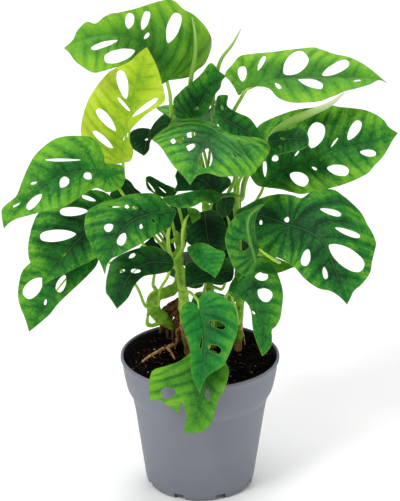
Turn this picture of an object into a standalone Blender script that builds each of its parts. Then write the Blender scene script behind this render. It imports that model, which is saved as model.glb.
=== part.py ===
"""Monstera adansonii in a 12 cm nursery pot: pot, soil, climbing stems, holed leaves and furled new leaves.

The frame is metres, +Z up, with the origin at the middle of the pot's underside and the viewer at -Y.
Leaves and stems are laid out by how they are seen from the front: across and down in steps of the
front view, and depth in millimetres behind the pot's middle.
"""
import math
import random

import bpy
import bmesh
import numpy as np
from mathutils import Vector
from mathutils.geometry import delaunay_2d_cdt

MM = 0.001

# Pot and soil, millimetres
POT_HEIGHT = 104.0
POT_RIM_RADIUS = 60.0
POT_WALL = 1.4
POT_TURN = 36
SOIL_TOP = 98.0
FIT_GAP = 0.3

# Plant, millimetres
BLADE_THICKNESS = 0.8
PETIOLE_RADIUS = 1.25
HOLE_POINTS = 7
EDGE_STEPS = 1
GRID = 15.0

# Front view: where the eye stands, what it looks at, and its scale
EYE = np.array([0.0, -1200.0, 651.0])
AIM = np.array([0.0, 0.0, 187.0])
VIEW_STEPS = 1745.0
VIEW_MIDDLE = (200.0, 250.5)

AHEAD = (AIM - EYE) / np.linalg.norm(AIM - EYE)
ACROSS = np.array([1.0, 0.0, 0.0])
UPWARD = np.cross(ACROSS, AHEAD)


def seen(across, down, depth):
    """The point seen at (across, down) in the front view, depth mm behind the pot's middle."""
    ray = AHEAD * VIEW_STEPS + ACROSS * (across - VIEW_MIDDLE[0]) - UPWARD * (down - VIEW_MIDDLE[1])
    return EYE + ray * ((depth - EYE[1]) / ray[1])


def front_view(points):
    """Where points are seen from the front, as (across, down) pairs."""
    d = points - EYE
    far = d @ AHEAD
    across = VIEW_MIDDLE[0] + VIEW_STEPS * (d @ ACROSS) / far
    down = VIEW_MIDDLE[1] - VIEW_STEPS * (d @ UPWARD) / far
    return np.stack([across, down], -1)


def facing(turn, lift):
    """Unit vector: turn 0 faces the viewer and grows to the right, lift 90 is straight up."""
    turn, lift = math.radians(turn), math.radians(lift)
    return np.array([math.sin(turn) * math.cos(lift), -math.cos(turn) * math.cos(lift), math.sin(lift)])


def smooth(points, steps, closed=False):
    """A soft line through the points. A point given twice stays a sharp corner."""
    p = np.array(points, float)
    if closed:
        p = np.vstack([p[-1], p, p[0], p[1]])
    else:
        p = np.vstack([2 * p[0] - p[1], p, 2 * p[-1] - p[-2]])
    out = []
    for i in range(1, len(p) - 2):
        if np.allclose(p[i], p[i + 1]):
            continue
        for t in np.arange(steps) / steps:
            out.append(0.5 * (2 * p[i] + (p[i + 1] - p[i - 1]) * t
                              + (2 * p[i - 1] - 5 * p[i] + 4 * p[i + 1] - p[i + 2]) * t * t
                              + (3 * p[i] - 3 * p[i + 1] + p[i + 2] - p[i - 1]) * t ** 3))
    if not closed:
        out.append(p[-2])
    return np.array(out)


# Leaves. rib: base, bends and tip of the midrib, as seen from the front. face: the way the upper side
# looks, at the base and at the tip. fold: how far each half (left, right) rises from the midrib, degrees.
# curl: how far each half has turned 40 mm out, degrees. edge: the outline. holes: inner end, outer end, width.
# half_width: for a leaf at the back, which has the plain outline and its holes as shares of length and width.
# stalk: the petiole from the base down to its stem. thick: the petiole's radius in mm where it is stout.
LEAVES = {
    "leaf_crown_left": dict(
        rib=[(168, 81, 16), (150, 49, 2), (122, 35, -12), (90, 37, -24), (64, 48, -32)],
        face=[(5, 28), (-8, 40)], fold=(6, 4), curl=(-18, -24),
        edge=[(64, 48), (64, 48), (73, 40), (77, 31), (86, 22), (95, 24), (103, 18), (111, 14), (122, 12),
              (136, 8.5), (150, 4), (165, 0), (174, 1), (183, 9), (194, 15), (205, 26), (211, 38), (211, 50),
              (205, 63), (196, 71), (188, 77), (171, 80), (168, 81), (160, 85), (152, 83), (142, 77), (130, 70),
              (119, 67), (110, 69), (100, 72), (92, 72), (83, 67), (75, 61), (70, 54)],
        holes=[(168, 43, 178, 13, 13), (144, 39, 149, 33, 4), (142, 30, 148, 11, 8), (128, 29, 131, 13, 9.5),
               (118, 40, 91, 49, 6), (135, 51, 104, 60, 13)],
        on="stem_back", thick=1.5,
        stalk=[(170, 95, 16), (171, 110, 17), (172, 122, 22), (180, 136, 24), (191, 152, 22)]),
    "leaf_yellow": dict(
        rib=[(122, 163, -14), (126, 130, -22), (133, 100, -30), (139, 78, -36), (147, 47, -44)],
        face=[(-15, 15), (-5, 10)], fold=(4, 6), curl=(-20, -16),
        edge=[(147, 47), (147, 47), (140, 52), (130, 61), (118, 67), (109, 72), (100, 82), (91, 95), (85, 108),
              (82, 122), (82, 135), (86, 148), (94, 158), (104, 163), (113, 164), (122, 163), (130, 161),
              (133, 155), (133, 148), (130, 140), (131, 130), (138, 122), (148, 113), (159, 106), (164, 102),
              (165, 96), (163, 87), (160, 76), (155, 63)],
        holes=[(126, 99, 120, 70, 11), (131, 113, 118, 97, 3.5), (132, 117, 158, 98, 5.5), (116, 131, 97, 109, 9.5),
               (113, 148, 93, 131, 7), (123, 141, 128, 133, 3)],
        on="stem_left", stalk=[(124, 178, -10), (128, 192, -4), (140, 214, 6), (160, 236, 12), (177, 252, 14)]),
    "leaf_far_left": dict(
        rib=[(107, 172, -44), (72, 172, -52), (34, 191, -62), (4, 229, -70)],
        face=[(-5, 32), (-20, 30)], fold=(6, 6), curl=(-16, -20),
        edge=[(4, 229), (4, 229), (1.5, 211), (8, 203), (17, 195), (22, 182), (29, 166), (36, 154), (50, 142),
              (64, 137), (80, 136), (92, 138), (100, 146), (104, 156), (105, 163), (114, 164), (122, 166),
              (125, 175), (123, 185), (117, 190), (107, 192), (96, 188), (80, 197), (66, 206), (50, 210),
              (30, 215), (14, 220), (7, 225)],
        holes=[(81, 160, 45, 160, 3), (91, 179, 85, 173, 8), (61, 188, 67, 177, 9), (37, 182, 31, 184, 2.5),
               (42, 194, 27, 209, 8), (20, 203, 13, 207, 2)],
        on="stem_left", stalk=[(116, 184, -34), (128, 202, -22), (146, 226, -2), (163, 247, 6), (174, 264, 9)]),
    "leaf_left": dict(
        rib=[(112, 209, -36), (80, 238, -38), (56, 266, -42), (42, 285, -46)],
        face=[(-5, 25), (-5, 20)], fold=(5, 5), curl=(-14, -18),
        edge=[(42, 285), (42, 285), (41, 273), (33, 266), (29, 258), (28, 247), (30, 234), (33, 224), (37, 215),
              (46, 206), (62, 199), (80, 192), (96, 190), (108, 194), (113, 202), (110, 214), (102, 222),
              (100, 234), (102, 246), (97, 257), (80, 266), (68, 272), (58, 277), (50, 281)],
        holes=[(88, 211, 60, 212, 9), (76, 234, 40, 237, 12), (66, 253, 62, 256, 2.5), (96, 201, 82, 196, 4)],
        on="stem_left", stalk=[(124, 222, -22), (140, 240, -8), (154, 262, -4), (153, 284, -5)]),
    "leaf_front_left": dict(
        rib=[(171, 211, -52), (150, 214, -60), (130, 222, -68), (116, 240, -76), (105, 275, -84)],
        face=[(-5, 35), (-20, 30)], fold=(6, 4), curl=(-20, -26),
        edge=[(105, 275), (105, 275), (100, 262), (94, 254), (90, 243), (86, 234), (85, 222), (88, 211), (97, 205),
              (105, 201), (116, 199), (124, 196), (132, 194), (145, 193), (155, 194), (163, 199), (168, 206),
              (176, 210), (174, 218), (171, 226), (166, 230), (157, 234), (147, 240), (133, 248), (120, 255),
              (111, 259), (107, 265)],
        holes=[(113, 225, 105, 230, 8), (125, 233, 119, 245, 9), (141, 224, 141, 229, 3), (152, 218, 154, 223, 2.5),
               (129, 208, 125, 206, 3.5), (138, 208, 132, 208, 3.5), (121, 207, 107, 207, 1.6)],
        on="stem_front", thick=1.5,
        stalk=[(169, 226, -40), (168, 240, -30), (171, 256, -20), (177, 270, -12), (181, 282, -10)]),
    "leaf_low_left": dict(
        rib=[(90, 253, -18), (64, 281, -24), (44, 308, -29), (29, 332, -33)],
        face=[(-5, 25), (-5, 20)], fold=(5, 5), curl=(-12, -12),
        edge=[(29, 332), (29, 332), (25, 318), (20, 306), (18, 295), (19, 283), (22, 272), (29, 264), (42, 256),
              (58, 250), (75, 247), (90, 249), (97, 256), (98, 262), (93, 270), (80, 283), (68, 294), (57, 305),
              (50, 314), (40, 323)],
        holes=[(42, 278, 25, 297, 15), (46, 299, 45, 305, 2.5), (65, 275, 58, 292, 9)],
        on="stem_left", stalk=[(112, 264, -16), (135, 284, -10), (146, 297, -6), (151, 303, -4)]),
    "leaf_low_middle": dict(
        rib=[(171, 263, -34), (148, 263, -40), (128, 278, -46), (117, 309, -52)],
        face=[(-10, 35), (-10, 25)], fold=(5, 5), curl=(-16, -16),
        edge=[(117, 309), (117, 309), (110, 298), (106, 292), (106, 282), (108, 272), (111, 262), (120, 255),
              (135, 249), (150, 246), (163, 250), (171, 256), (174, 264), (170, 271), (158, 274), (145, 276),
              (138, 281), (133, 288), (128, 298)],
        holes=[(129, 258, 135, 254, 4), (125, 270, 120, 272, 3), (141, 271, 131, 271, 4.5)],
        on="stem_left", stalk=[(168, 276, -24), (160, 290, -12), (153, 302, -4)]),
    "leaf_centre": dict(
        rib=[(222, 131, -6), (208, 139, -30), (197, 160, -58), (190, 185, -76)],
        face=[(5, 62), (0, 35)], fold=(4, 4), curl=(-30, -34),
        edge=[(190, 185), (190, 185), (184, 177), (179, 172), (173, 165), (168, 158), (163, 150), (158, 144),
              (153, 140), (160, 132), (168, 126), (178, 121), (190, 119), (202, 120), (213, 124), (222, 129),
              (230, 134), (240, 136), (252, 137), (262, 139), (268, 144), (270, 150), (266, 158), (259, 167),
              (254, 173), (247, 177), (235, 176), (222, 177), (215, 175), (207, 173), (197, 176)],
        holes=[(176, 139, 171, 143, 5.5), (183, 137, 179, 143, 5), (196, 133, 187, 136, 6.5),
               (196, 144, 186, 150, 5.5), (208, 148, 204, 168, 13), (233, 152, 236, 158, 2)],
        on="stem_back", stalk=[(228, 140, 0), (226, 160, 8), (216, 180, 14), (206, 196, 16)]),
    "leaf_behind_crown": dict(
        rib=[(192, 119, 23), (202, 100, 15), (213, 84, 8), (226, 76, 3)],
        face=[(-15, 25), (-10, 20)], fold=(8, 8), curl=(-16, -12),
        edge=[(226, 76), (226, 76), (219, 71), (215, 66), (211, 63), (207, 66), (203, 72), (196, 79), (190, 84),
              (185, 87), (179, 93), (174, 99), (174, 108), (176, 117), (183, 119.5), (192, 119), (201, 117),
              (207, 112), (211, 104), (215, 95), (220, 88), (222, 81)],
        holes=[(194, 110, 198, 107, 3)],
        on="stem_back", stalk=[(193, 136, 18), (199, 152, 14), (203, 168, 13)]),
    "leaf_shaded_right": dict(
        rib=[(222, 118, 14), (240, 128, 15), (260, 142, 16), (277, 155, 15)],
        face=[(10, 40), (10, 40)], fold=(4, 4), curl=(-12, -16),
        edge=[(277, 155), (277, 155), (271, 147), (264, 138), (257, 128), (249, 118), (238, 113), (228, 107),
              (227, 102), (228, 97), (226, 95), (218, 96), (216, 104), (215, 114), (218, 124), (226, 133),
              (240, 140), (256, 147), (268, 153)],
        holes=[(221, 105, 223, 110, 3)],
        on="stem_right", stalk=[(226, 130, 16), (231, 148, 20), (234, 170, 22), (235, 194, 19), (236, 210, 14)]),
    "leaf_crown_right": dict(
        rib=[(246, 88, 22), (268, 80, 20), (300, 77, 16), (340, 77, 10), (372, 78, 6), (387, 83, 4)],
        face=[(5, 55), (5, 50)], fold=(6, 6), curl=(-14, -14),
        edge=[(387, 83), (387, 83), (380, 77), (373, 71), (362, 63), (348, 57), (333, 54), (320, 49), (312, 47),
              (298, 49), (280, 51), (262, 53), (245, 55), (238, 58), (232, 65), (225, 75), (229, 80),
              (234, 87), (239, 95), (246, 88), (258, 86), (266, 87), (271, 90), (276, 96), (283, 100),
              (292, 102), (305, 102), (320, 101), (330, 97), (343, 92), (357, 88), (370, 84), (379, 80)],
        holes=[(243, 82, 242, 66, 9), (258, 71, 265, 56, 5), (284, 74, 306, 54, 20), (322, 75, 349, 62, 11),
               (353, 81, 361, 80, 2), (275, 83, 281, 89, 4), (298, 79, 323, 87, 9)],
        on="stem_right", thick=1.5,
        stalk=[(243, 95, 22), (233, 112, 26), (222, 134, 24), (226, 152, 12), (235, 176, 7), (237, 187, 6)]),
    "leaf_right": dict(
        rib=[(263, 186, 26), (275, 175, 23), (290, 166, 20), (330, 152, 12), (370, 142, 6), (398, 133, 2)],
        face=[(8, 28), (8, 28)], fold=(6, 6), curl=(-12, -14),
        edge=[(398, 133), (398, 133), (389, 127), (384, 120), (375, 114), (365, 110), (352, 108), (340, 107),
              (330, 105), (318, 107), (305, 108.5), (292, 111), (280, 115), (270, 119), (262, 123), (257, 128),
              (252, 138), (249, 152), (248, 166), (251, 177), (257, 185), (263, 187), (280, 189), (290, 192),
              (302, 194), (312, 192), (331, 188), (345, 184), (357, 179), (368, 173), (374, 166), (382, 158),
              (388, 149), (392, 141)],
        holes=[(311, 148, 320, 123, 17), (348, 140, 360, 121, 10), (331, 147, 338, 138, 2), (360, 152, 376, 154, 7),
               (327, 168, 349, 172, 11), (312, 167, 317, 170, 2.5), (290, 174, 308, 183, 13),
               (272, 160, 278, 157, 6), (265, 177, 265, 161, 4), (295, 156, 299, 151, 2)],
        on="stem_right", stalk=[(261, 193, 28), (253, 206, 25), (245, 222, 18), (238, 238, 7)]),
    "leaf_small_right": dict(
        rib=[(271, 141, 8), (290, 139, -6), (309, 140, -14)],
        face=[(10, 30), (10, 30)], fold=(6, 6), curl=(-14, -14),
        edge=[(309, 140), (309, 140), (307, 133), (303, 129), (298, 126.5), (293, 128), (288, 130), (279, 131),
              (272, 134), (268, 139), (269, 148), (272, 155), (285, 153), (295, 151), (303, 149), (308, 145)],
        holes=[(280, 138, 285, 139, 1.8), (279, 146, 282, 148, 2)],
        on="stem_right", stalk=[(265, 147, 10), (256, 158, 9), (246, 170, 5), (239, 182, 0), (238, 196, -3), (238, 208, -1)]),
    "leaf_low_right": dict(
        rib=[(290, 225, -26), (310, 232, -34), (324, 244, -42), (336, 272, -54), (347, 305, -66)],
        face=[(8, 28), (5, 22)], fold=(4, 6), curl=(-14, -16),
        edge=[(347, 305), (347, 305), (351, 297), (354, 291), (362, 284), (370, 273), (372, 262), (375, 250),
              (376, 243), (373, 234), (367, 224), (362, 214), (353, 204), (342, 195), (334, 190), (322, 189),
              (311, 192), (302, 198), (292, 195), (280, 194), (268, 196), (255, 201), (245, 206), (237, 211),
              (238, 224), (247, 237), (257, 246), (266, 252), (276, 257), (283, 260), (295, 268), (303, 277),
              (311, 284), (320, 289), (330, 291), (337, 295), (343, 300)],
        holes=[(320, 209, 341, 215, 6), (335, 228, 360, 237, 6), (329, 245, 363, 269, 19), (324, 267, 326, 279, 5),
               (308, 249, 304, 266, 9), (288, 217, 286, 222, 5), (261, 220, 261, 225, 3)],
        on="stem_back", thick=1.5,
        stalk=[(284, 232, -18), (266, 246, -14), (248, 262, -18), (238, 276, -22), (226, 297, -18),
               (216, 306, -2)]),
    "leaf_hanging": dict(
        rib=[(259, 249, -44), (254, 240, -50), (252, 226, -54), (256, 212, -52), (265, 204, -46)],
        face=[(20, 20), (20, 20)], fold=(-8, 4), curl=(-20, -30),
        edge=[(265, 204), (265, 204), (258, 205), (251, 209), (243, 212), (236, 216), (230, 223), (227, 231),
              (225, 240), (227, 250), (230, 259), (234, 268), (240, 273), (247, 277), (252, 275), (255, 268),
              (256, 258), (260, 249), (257, 241), (255, 232), (255, 222), (258, 212)],
        holes=[(240, 240, 246, 250, 10)],
        on="stem_right", stalk=[(264, 253, -46), (271, 258, -44), (278, 262, -36), (279, 262, -27), (268, 256, -12), (250, 254, -1)]),
    "leaf_drooping": dict(
        rib=[(232, 290, -30), (247, 297, -40), (257, 311, -50), (263, 333, -56), (262, 356, -58)],
        face=[(10, 25), (10, 18)], fold=(6, 6), curl=(-16, -16),
        edge=[(262, 356), (262, 356), (258, 346), (254, 334), (252, 322), (251, 312), (247, 303), (240, 298),
              (231, 296), (229, 288), (234, 278), (240, 268), (250, 262), (260, 258), (270, 262), (276, 270),
              (281, 283), (283, 295), (282, 308), (280, 319), (276, 326), (272, 330), (272, 338), (271, 346),
              (266, 353)],
        holes=[(255, 277, 268, 276, 9), (258, 290, 271, 299, 13), (252, 311, 255, 314, 2)],
        on="stem_right", stalk=[(232, 298, -20), (236, 310, -8), (239, 320, -3)]),
    "leaf_front": dict(
        rib=[(199, 308, -52), (204, 326, -60), (205, 350, -70), (202, 374, -80), (200, 394, -88)],
        face=[(0, 30), (0, 15)], fold=(10, 10), curl=(-14, -14),
        edge=[(200, 394), (200, 394), (196, 385), (192, 375), (190, 362), (190, 352), (188, 342), (185, 333),
              (182, 325), (181, 315), (182, 307), (187, 302), (192, 302), (196, 305), (199, 309), (199, 302),
              (201, 296), (207, 292), (213, 291), (222, 296), (231, 302), (236, 311), (238, 322), (237, 333),
              (232, 348), (227, 359), (223, 366), (214, 371), (206, 378), (202, 386)],
        holes=[(209, 321, 225, 328, 7), (208, 346, 221, 352, 8), (202, 336, 200, 353, 2)],
        on="stem_front", stalk=[(198, 301, -47), (193, 295, -36), (188, 292, -24), (184, 298, -10)]),
    "leaf_over_rim": dict(
        rib=[(207, 350, -46), (206, 368, -62), (203, 392, -72), (190, 433, -74)],
        face=[(0, 35), (0, 5)], fold=(4, 4), curl=(-8, -8),
        edge=[(190, 433), (184, 431), (186, 422), (186, 412), (183, 405), (180, 402), (180, 409), (177, 412),
              (172, 408), (165, 404), (160, 400), (151, 400), (149, 390), (150, 377), (154, 370), (166, 366),
              (180, 361), (190, 354), (200, 348), (207, 350), (216, 352), (225, 362), (229, 370), (228, 378),
              (225, 388), (219, 399), (215, 411), (211, 423), (203, 431)],
        holes=[(176, 392, 161, 394, 12), (207, 385, 208, 401, 3.5)],
        on="stem_back", stalk=[(211, 342, -34), (213, 334, -14), (213, 328, 0)]),
    "leaf_shaded_centre": dict(
        rib=[(205, 214, -6), (206, 226, -10), (208, 240, -14), (212, 253, -18)],
        face=[(0, 20), (0, 20)], fold=(8, 8), curl=(-16, -16),
        edge=[(212, 256), (212, 256), (203, 252), (194, 247), (187, 242), (186, 231), (190, 221), (198, 213),
              (205, 211), (212, 210), (220, 215), (226, 226), (228, 238), (226, 248), (220, 254)],
        holes=[],
        on="stem_back", stalk=[(203, 222, 2), (204, 236, 8), (207, 254, 10)]),
    "leaf_centre_front": dict(
        rib=[(198, 244, -32), (201, 253, -36), (206, 264, -40), (215, 278, -44)],
        face=[(0, 25), (0, 20)], fold=(12, 12), curl=(-20, -20),
        edge=[(215, 278), (215, 278), (209, 273), (203, 270), (196, 264), (190, 256), (187, 248), (192, 245),
              (198, 243), (207, 244), (216, 249), (225, 253), (223, 262), (220, 270)],
        holes=[],
        on="stem_back", stalk=[(197, 252, -24), (200, 266, -10), (206, 280, 4), (209, 292, 8)]),
    "leaf_low_centre": dict(
        rib=[(222, 272, -20), (208, 274, -24), (196, 278, -28), (186, 286, -30)],
        face=[(0, 30), (0, 30)], fold=(8, 8), curl=(-16, -16),
        edge=[(186, 287), (186, 287), (185, 276), (186, 263), (192, 262), (202, 264), (214, 264), (222, 259),
              (231, 261), (234, 270), (231, 281), (218, 283), (205, 283), (196, 285)],
        holes=[],
        on="stem_back", stalk=[(226, 279, -12), (222, 289, 0)]),
    "leaf_upper_left_small": dict(
        rib=[(149, 132, 17), (146, 142, 13), (144, 156, 8)],
        face=[(-10, 15), (-10, 15)], fold=(8, 8), curl=(-18, -18),
        edge=[(144, 156), (144, 156), (136, 151), (131, 147), (129, 139), (130, 133), (136, 129), (144, 128),
              (152, 130), (153, 136), (150, 143), (149, 150)],
        holes=[(145, 140, 148, 139, 2)],
        on="stem_back", stalk=[(154, 127, 21), (162, 122, 25), (172, 130, 30), (184, 148, 31), (194, 166, 28)]),
    "leaf_left_lobe": dict(
        rib=[(171, 124, 14), (162, 124, 13), (155, 130, 11), (150, 139, 8)],
        face=[(-10, 35), (-20, 30)], fold=(5, 5), curl=(-16, -16),
        edge=[(150, 140), (150, 140), (150, 132), (153, 125), (158, 119), (164, 114), (168, 116), (172, 120),
              (174, 127), (166, 132), (158, 138)],
        holes=[],
        on="stem_back", stalk=[(174, 134, 13), (182, 152, 12), (193, 172, 12), (201, 186, 15)]),
    "leaf_folded_left": dict(
        rib=[(170, 192, -4), (160, 187, -8), (146, 178, -14)],
        face=[(0, 50), (0, 50)], fold=(10, 10), curl=(-20, -20),
        edge=[(146, 177), (146, 177), (150, 176), (156, 179), (165, 184), (174, 188), (177, 192), (172, 197),
              (163, 197), (155, 194), (148, 189), (146, 183)],
        holes=[(147.5, 181.5, 155, 192, 2), (158.5, 186.5, 166, 193, 1.8)],
        on="stem_left", stalk=[(176, 200, 2), (181, 216, 14), (185, 236, 22)]),
    "leaf_dark_left": dict(
        rib=[(137, 193, -12), (131, 189, -16), (125, 179, -22)],
        face=[(0, 30), (0, 30)], fold=(8, 8), curl=(-16, -16),
        edge=[(125, 178), (125, 178), (131, 182), (135, 188), (141, 193), (140, 199), (132, 202), (122, 202),
              (113, 200), (110, 194), (116, 189), (121, 184)],
        holes=[],
        on="stem_left", stalk=[(146, 202, -4), (158, 222, 6), (172, 240, 13)]),
    "leaf_edge_on": dict(
        rib=[(166, 200, -26), (190, 196, -32), (215, 194, -34), (242, 196, -32)],
        face=[(0, 70), (0, 70)], fold=(10, 10), curl=(-24, -24),
        edge=[(242, 196), (242, 196), (231, 193), (220, 193), (212, 190), (203, 190), (190, 192), (175, 195),
              (163, 198), (168, 204), (180, 208), (194, 206), (203, 201), (210, 203), (216, 202), (223, 197)],
        holes=[],
        on="stem_left", stalk=[(169, 206, -18), (171, 218, -6), (174, 230, 6)]),
    "leaf_under_centre": dict(
        rib=[(214, 196, -2), (210, 187, -6), (200, 179, -10), (176, 176, -14)],
        face=[(0, 35), (0, 30)], fold=(6, 6), curl=(-14, -14),
        edge=[(175, 176), (175, 176), (178, 168), (182, 158), (190, 160), (198, 167), (208, 171), (220, 173),
              (229, 178), (231, 184), (225, 190), (216, 196), (204, 195), (194, 191), (183, 191), (174, 191),
              (177, 184)],
        holes=[],
        on="stem_back", stalk=[(212, 202, 4), (209, 212, 9)]),
    "leaf_small_centre": dict(
        rib=[(226, 214, -8), (225, 207, -12), (228, 195, -16)],
        face=[(0, 25), (0, 25)], fold=(10, 10), curl=(-16, -16),
        edge=[(230, 193), (230, 193), (222, 198), (216, 205), (218, 213), (223, 217), (229, 214), (234, 206),
              (235, 198)],
        holes=[],
        on="stem_right", stalk=[(229, 222, -2), (235, 232, 4)]),
    "leaf_budding": dict(
        rib=[(191, 212, -14), (195, 214, -16), (201, 217, -20)],
        face=[(0, 30), (0, 30)], fold=(16, 16), curl=(-16, -16),
        edge=[(201, 217), (201, 217), (199, 211), (194, 208), (188, 208), (188, 213), (191, 219), (192, 223),
              (196, 221)],
        holes=[],
        on="stem_front", thick=1.7,
        stalk=[(186, 219, -12), (183, 232, -10), (182, 250, -8), (182, 262, -8)]),
    "leaf_tip_right": dict(
        rib=[(261, 264, -10), (278, 265, -14), (294, 267, -18)],
        face=[(5, 30), (5, 30)], fold=(6, 6), curl=(-14, -14),
        edge=[(294, 267), (294, 267), (286, 262), (276, 258), (266, 256), (258, 259), (256, 267), (262, 273),
              (271, 274), (281, 272)],
        holes=[],
        on="stem_right", stalk=[(254, 267, -6), (246, 272, -1)]),
    "leaf_inner_left": dict(
        rib=[(186, 226, 27), (170, 236, 27), (155, 247, 25), (137, 262, 21)],
        face=[(-5, 20), (-5, 20)], fold=(5, 5), curl=(-10, -10),
        edge=[(137, 262), (137, 262), (137, 254), (141, 246), (150, 238), (152, 226), (150, 212), (156, 202),
              (166, 198), (178, 200), (188, 208), (192, 220), (188, 236), (184, 250), (176, 262), (164, 266),
              (150, 265)],
        holes=[(159, 232, 159, 243, 9), (175, 237, 177, 250, 4)],
        on="stem_back", stalk=[(193, 229, 23), (200, 233, 18)]),
    "leaf_inner_right": dict(
        rib=[(213, 258, 26), (217, 240, 30), (224, 215, 33), (232, 193, 34)],
        face=[(0, 20), (0, 20)], fold=(5, 5), curl=(-10, -10),
        edge=[(232, 192), (232, 192), (235, 204), (238, 216), (240, 226), (238, 240), (231, 254), (221, 260),
              (213, 258), (205, 255), (200, 242), (200, 224), (206, 209), (218, 199)],
        holes=[],
        on="stem_back", stalk=[(211, 266, 20)]),
    "leaf_back_upper": dict(
        rib=[(199, 124, 40), (191, 107, 64), (182, 107, 89), (174, 122, 110)],
        face=[(195, 68), (203, 48)], fold=(6, 6), curl=(-16, -16), half_width=24,
        holes=[(0.20, 0.34, 0.30, 0.74, 5), (0.43, 0.30, 0.55, 0.66, 5), (0.66, 0.22, 0.76, 0.44, 3.5),
               (0.18, -0.34, 0.28, -0.74, 5), (0.42, -0.30, 0.54, -0.66, 5)],
        on="stem_back", stalk=[(201, 140, 34), (206, 160, 34), (210, 184, 29)]),
    "leaf_back_right": dict(
        rib=[(239, 160, 39), (248, 142, 64), (257, 140, 89), (263, 153, 111)],
        face=[(160, 66), (152, 46)], fold=(6, 6), curl=(-16, -14), half_width=25,
        holes=[(0.20, 0.32, 0.31, 0.76, 6), (0.46, 0.30, 0.56, 0.62, 4), (0.68, 0.22, 0.78, 0.42, 3.5),
               (0.24, -0.32, 0.36, -0.74, 5), (0.50, -0.28, 0.62, -0.60, 5)],
        on="stem_right", stalk=[(237, 180, 27), (234, 202, 25), (236, 222, 15)]),
    "leaf_back_low_right": dict(
        rib=[(244, 262, 24), (256, 241, 48), (268, 235, 74), (275, 244, 97)],
        face=[(155, 68), (165, 46)], fold=(6, 6), curl=(-14, -18), half_width=26,
        holes=[(0.18, 0.34, 0.28, 0.72, 5), (0.40, 0.28, 0.53, 0.70, 7), (0.22, -0.34, 0.32, -0.76, 5),
               (0.46, -0.30, 0.56, -0.60, 4), (0.68, -0.22, 0.78, -0.42, 3.5)],
        on="stem_right", stalk=[(241, 268, 14)]),
    "leaf_back_middle": dict(
        rib=[(206, 282, 22), (192, 260, 48), (178, 253, 75), (169, 262, 98)],
        face=[(200, 68), (192, 44)], fold=(6, 6), curl=(-18, -14), half_width=27,
        holes=[(0.18, 0.32, 0.30, 0.76, 7), (0.44, 0.28, 0.56, 0.62, 5), (0.20, -0.34, 0.30, -0.74, 5),
               (0.42, -0.28, 0.55, -0.68, 6), (0.68, -0.20, 0.78, -0.42, 3.5)],
        on="stem_back", stalk=[(208, 287, 15)]),
    "leaf_back_low": dict(
        rib=[(212, 322, 24), (218, 302, 48), (225, 295, 71), (230, 300, 89)],
        face=[(167, 70), (160, 52)], fold=(6, 6), curl=(-14, -14), half_width=20,
        holes=[(0.26, 0.32, 0.38, 0.72, 5), (0.24, -0.32, 0.35, -0.70, 4.5)],
        on="stem_back", stalk=[(213, 327, 18)]),
}

# Half of a plain heart-shaped outline, from tip to notch: share of the length, share of the half width
PLAIN_EDGE = [(1.0, 0.0), (0.94, 0.12), (0.84, 0.40), (0.68, 0.76), (0.48, 0.98), (0.28, 1.0), (0.10, 0.84),
              (-0.05, 0.54), (-0.07, 0.24), (0.0, 0.04)]

# Stems, from the soil up: across, down, depth and radius in millimetres
STEMS = {
    "stem_back": [(212, 347, 20, 3.0), (213, 326, 14, 2.9), (213, 308, 8, 2.8), (210, 290, 9, 2.8),
                  (208, 262, 11, 2.7), (207, 235, 13, 2.7), (206, 210, 15, 2.6), (203, 185, 17, 2.6),
                  (199, 166, 19, 2.4), (195, 152, 20, 2.2)],
    "stem_right": [(238, 349, 15, 2.9), (239, 325, 5, 2.8), (240, 310, -3, 2.8), (239, 290, -1, 2.7),
                   (238, 265, 2, 2.7), (238, 240, 5, 2.6), (238, 215, 6, 2.5), (238, 194, 6, 2.3)],
    "stem_front": [(189, 353, 8, 3.1), (186, 325, -2, 3.5), (184, 304, -8, 4.4), (183, 291, -8, 4.2),
                   (181, 279, -8, 3.4), (182, 266, -8, 2.5)],
    "stem_left": [(186, 342, 27, 2.8), (178, 330, 14, 2.8), (166, 321, 2, 2.8), (156, 313, -2, 3.4),
                  (152, 302, -3, 5.0), (158, 295, -1, 4.5), (168, 292, 4, 4.4), (177, 285, 10, 3.4),
                  (180, 270, 14, 2.7), (179, 250, 15, 2.6), (177, 232, 14, 2.3)],
}

# An old leaf sheath hanging from the left stem's knuckle: across, down, depth and radius
SHEATH = [(153, 305, -4, 1.6), (149, 311, -5, 1.2), (147.5, 318, -6, 1.0), (147.5, 324, -6, 1.6),
          (152, 325.5, -5, 1.5), (159, 323.5, -4, 1.2), (167, 323, 1, 1.2)]

# A dried root lying on the soil: main strand and side strand, x and y
ROOT = [(-43, -9), (-38.5, -0.5), (-34, 6), (-28.3, 14), (-22.4, 18.6), (-18.5, 26), (-17, 32)]
ROOT_BRANCH = [(-25.5, 16.5), (-22, 8), (-19, -4)]

# New leaves still rolled up: from the tip down, radius at the middle
FURLED = {
    "furled_left": dict(on="stem_back", radius=1.7,
                        path=[(192, 17, 20), (195, 35, 16), (195, 55, 14), (191, 78, 18), (190, 92, 28),
                              (192, 110, 30), (196, 132, 29), (201, 156, 27), (205, 174, 24)]),
    "furled_middle": dict(on="stem_back", radius=1.5,
                          path=[(241, 29, 20), (232, 45, 18), (222, 58, 17), (217, 72, 18), (214, 90, 21),
                                (212, 115, 22), (211, 140, 23), (209, 168, 23)]),
    "furled_right": dict(on="stem_right", radius=3.0,
                         path=[(344, 93, -8), (330, 104, -10), (310, 113, -8), (290, 122, 2), (277, 131, 14),
                               (268, 141, 22), (258, 153, 24), (250, 168, 21), (244, 184, 16), (241, 198, 12)]),
}


def midrib(leaf):
    """Evenly spaced points along a leaf's midrib, and its length."""
    p = smooth(leaf["points"], 10)
    reach = np.r_[0, np.cumsum(np.linalg.norm(np.diff(p, axis=0), axis=1))]
    even = np.linspace(0, reach[-1], 61)
    return np.stack([np.interp(even, reach, p[:, k]) for k in range(3)], -1), reach[-1]


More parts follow.
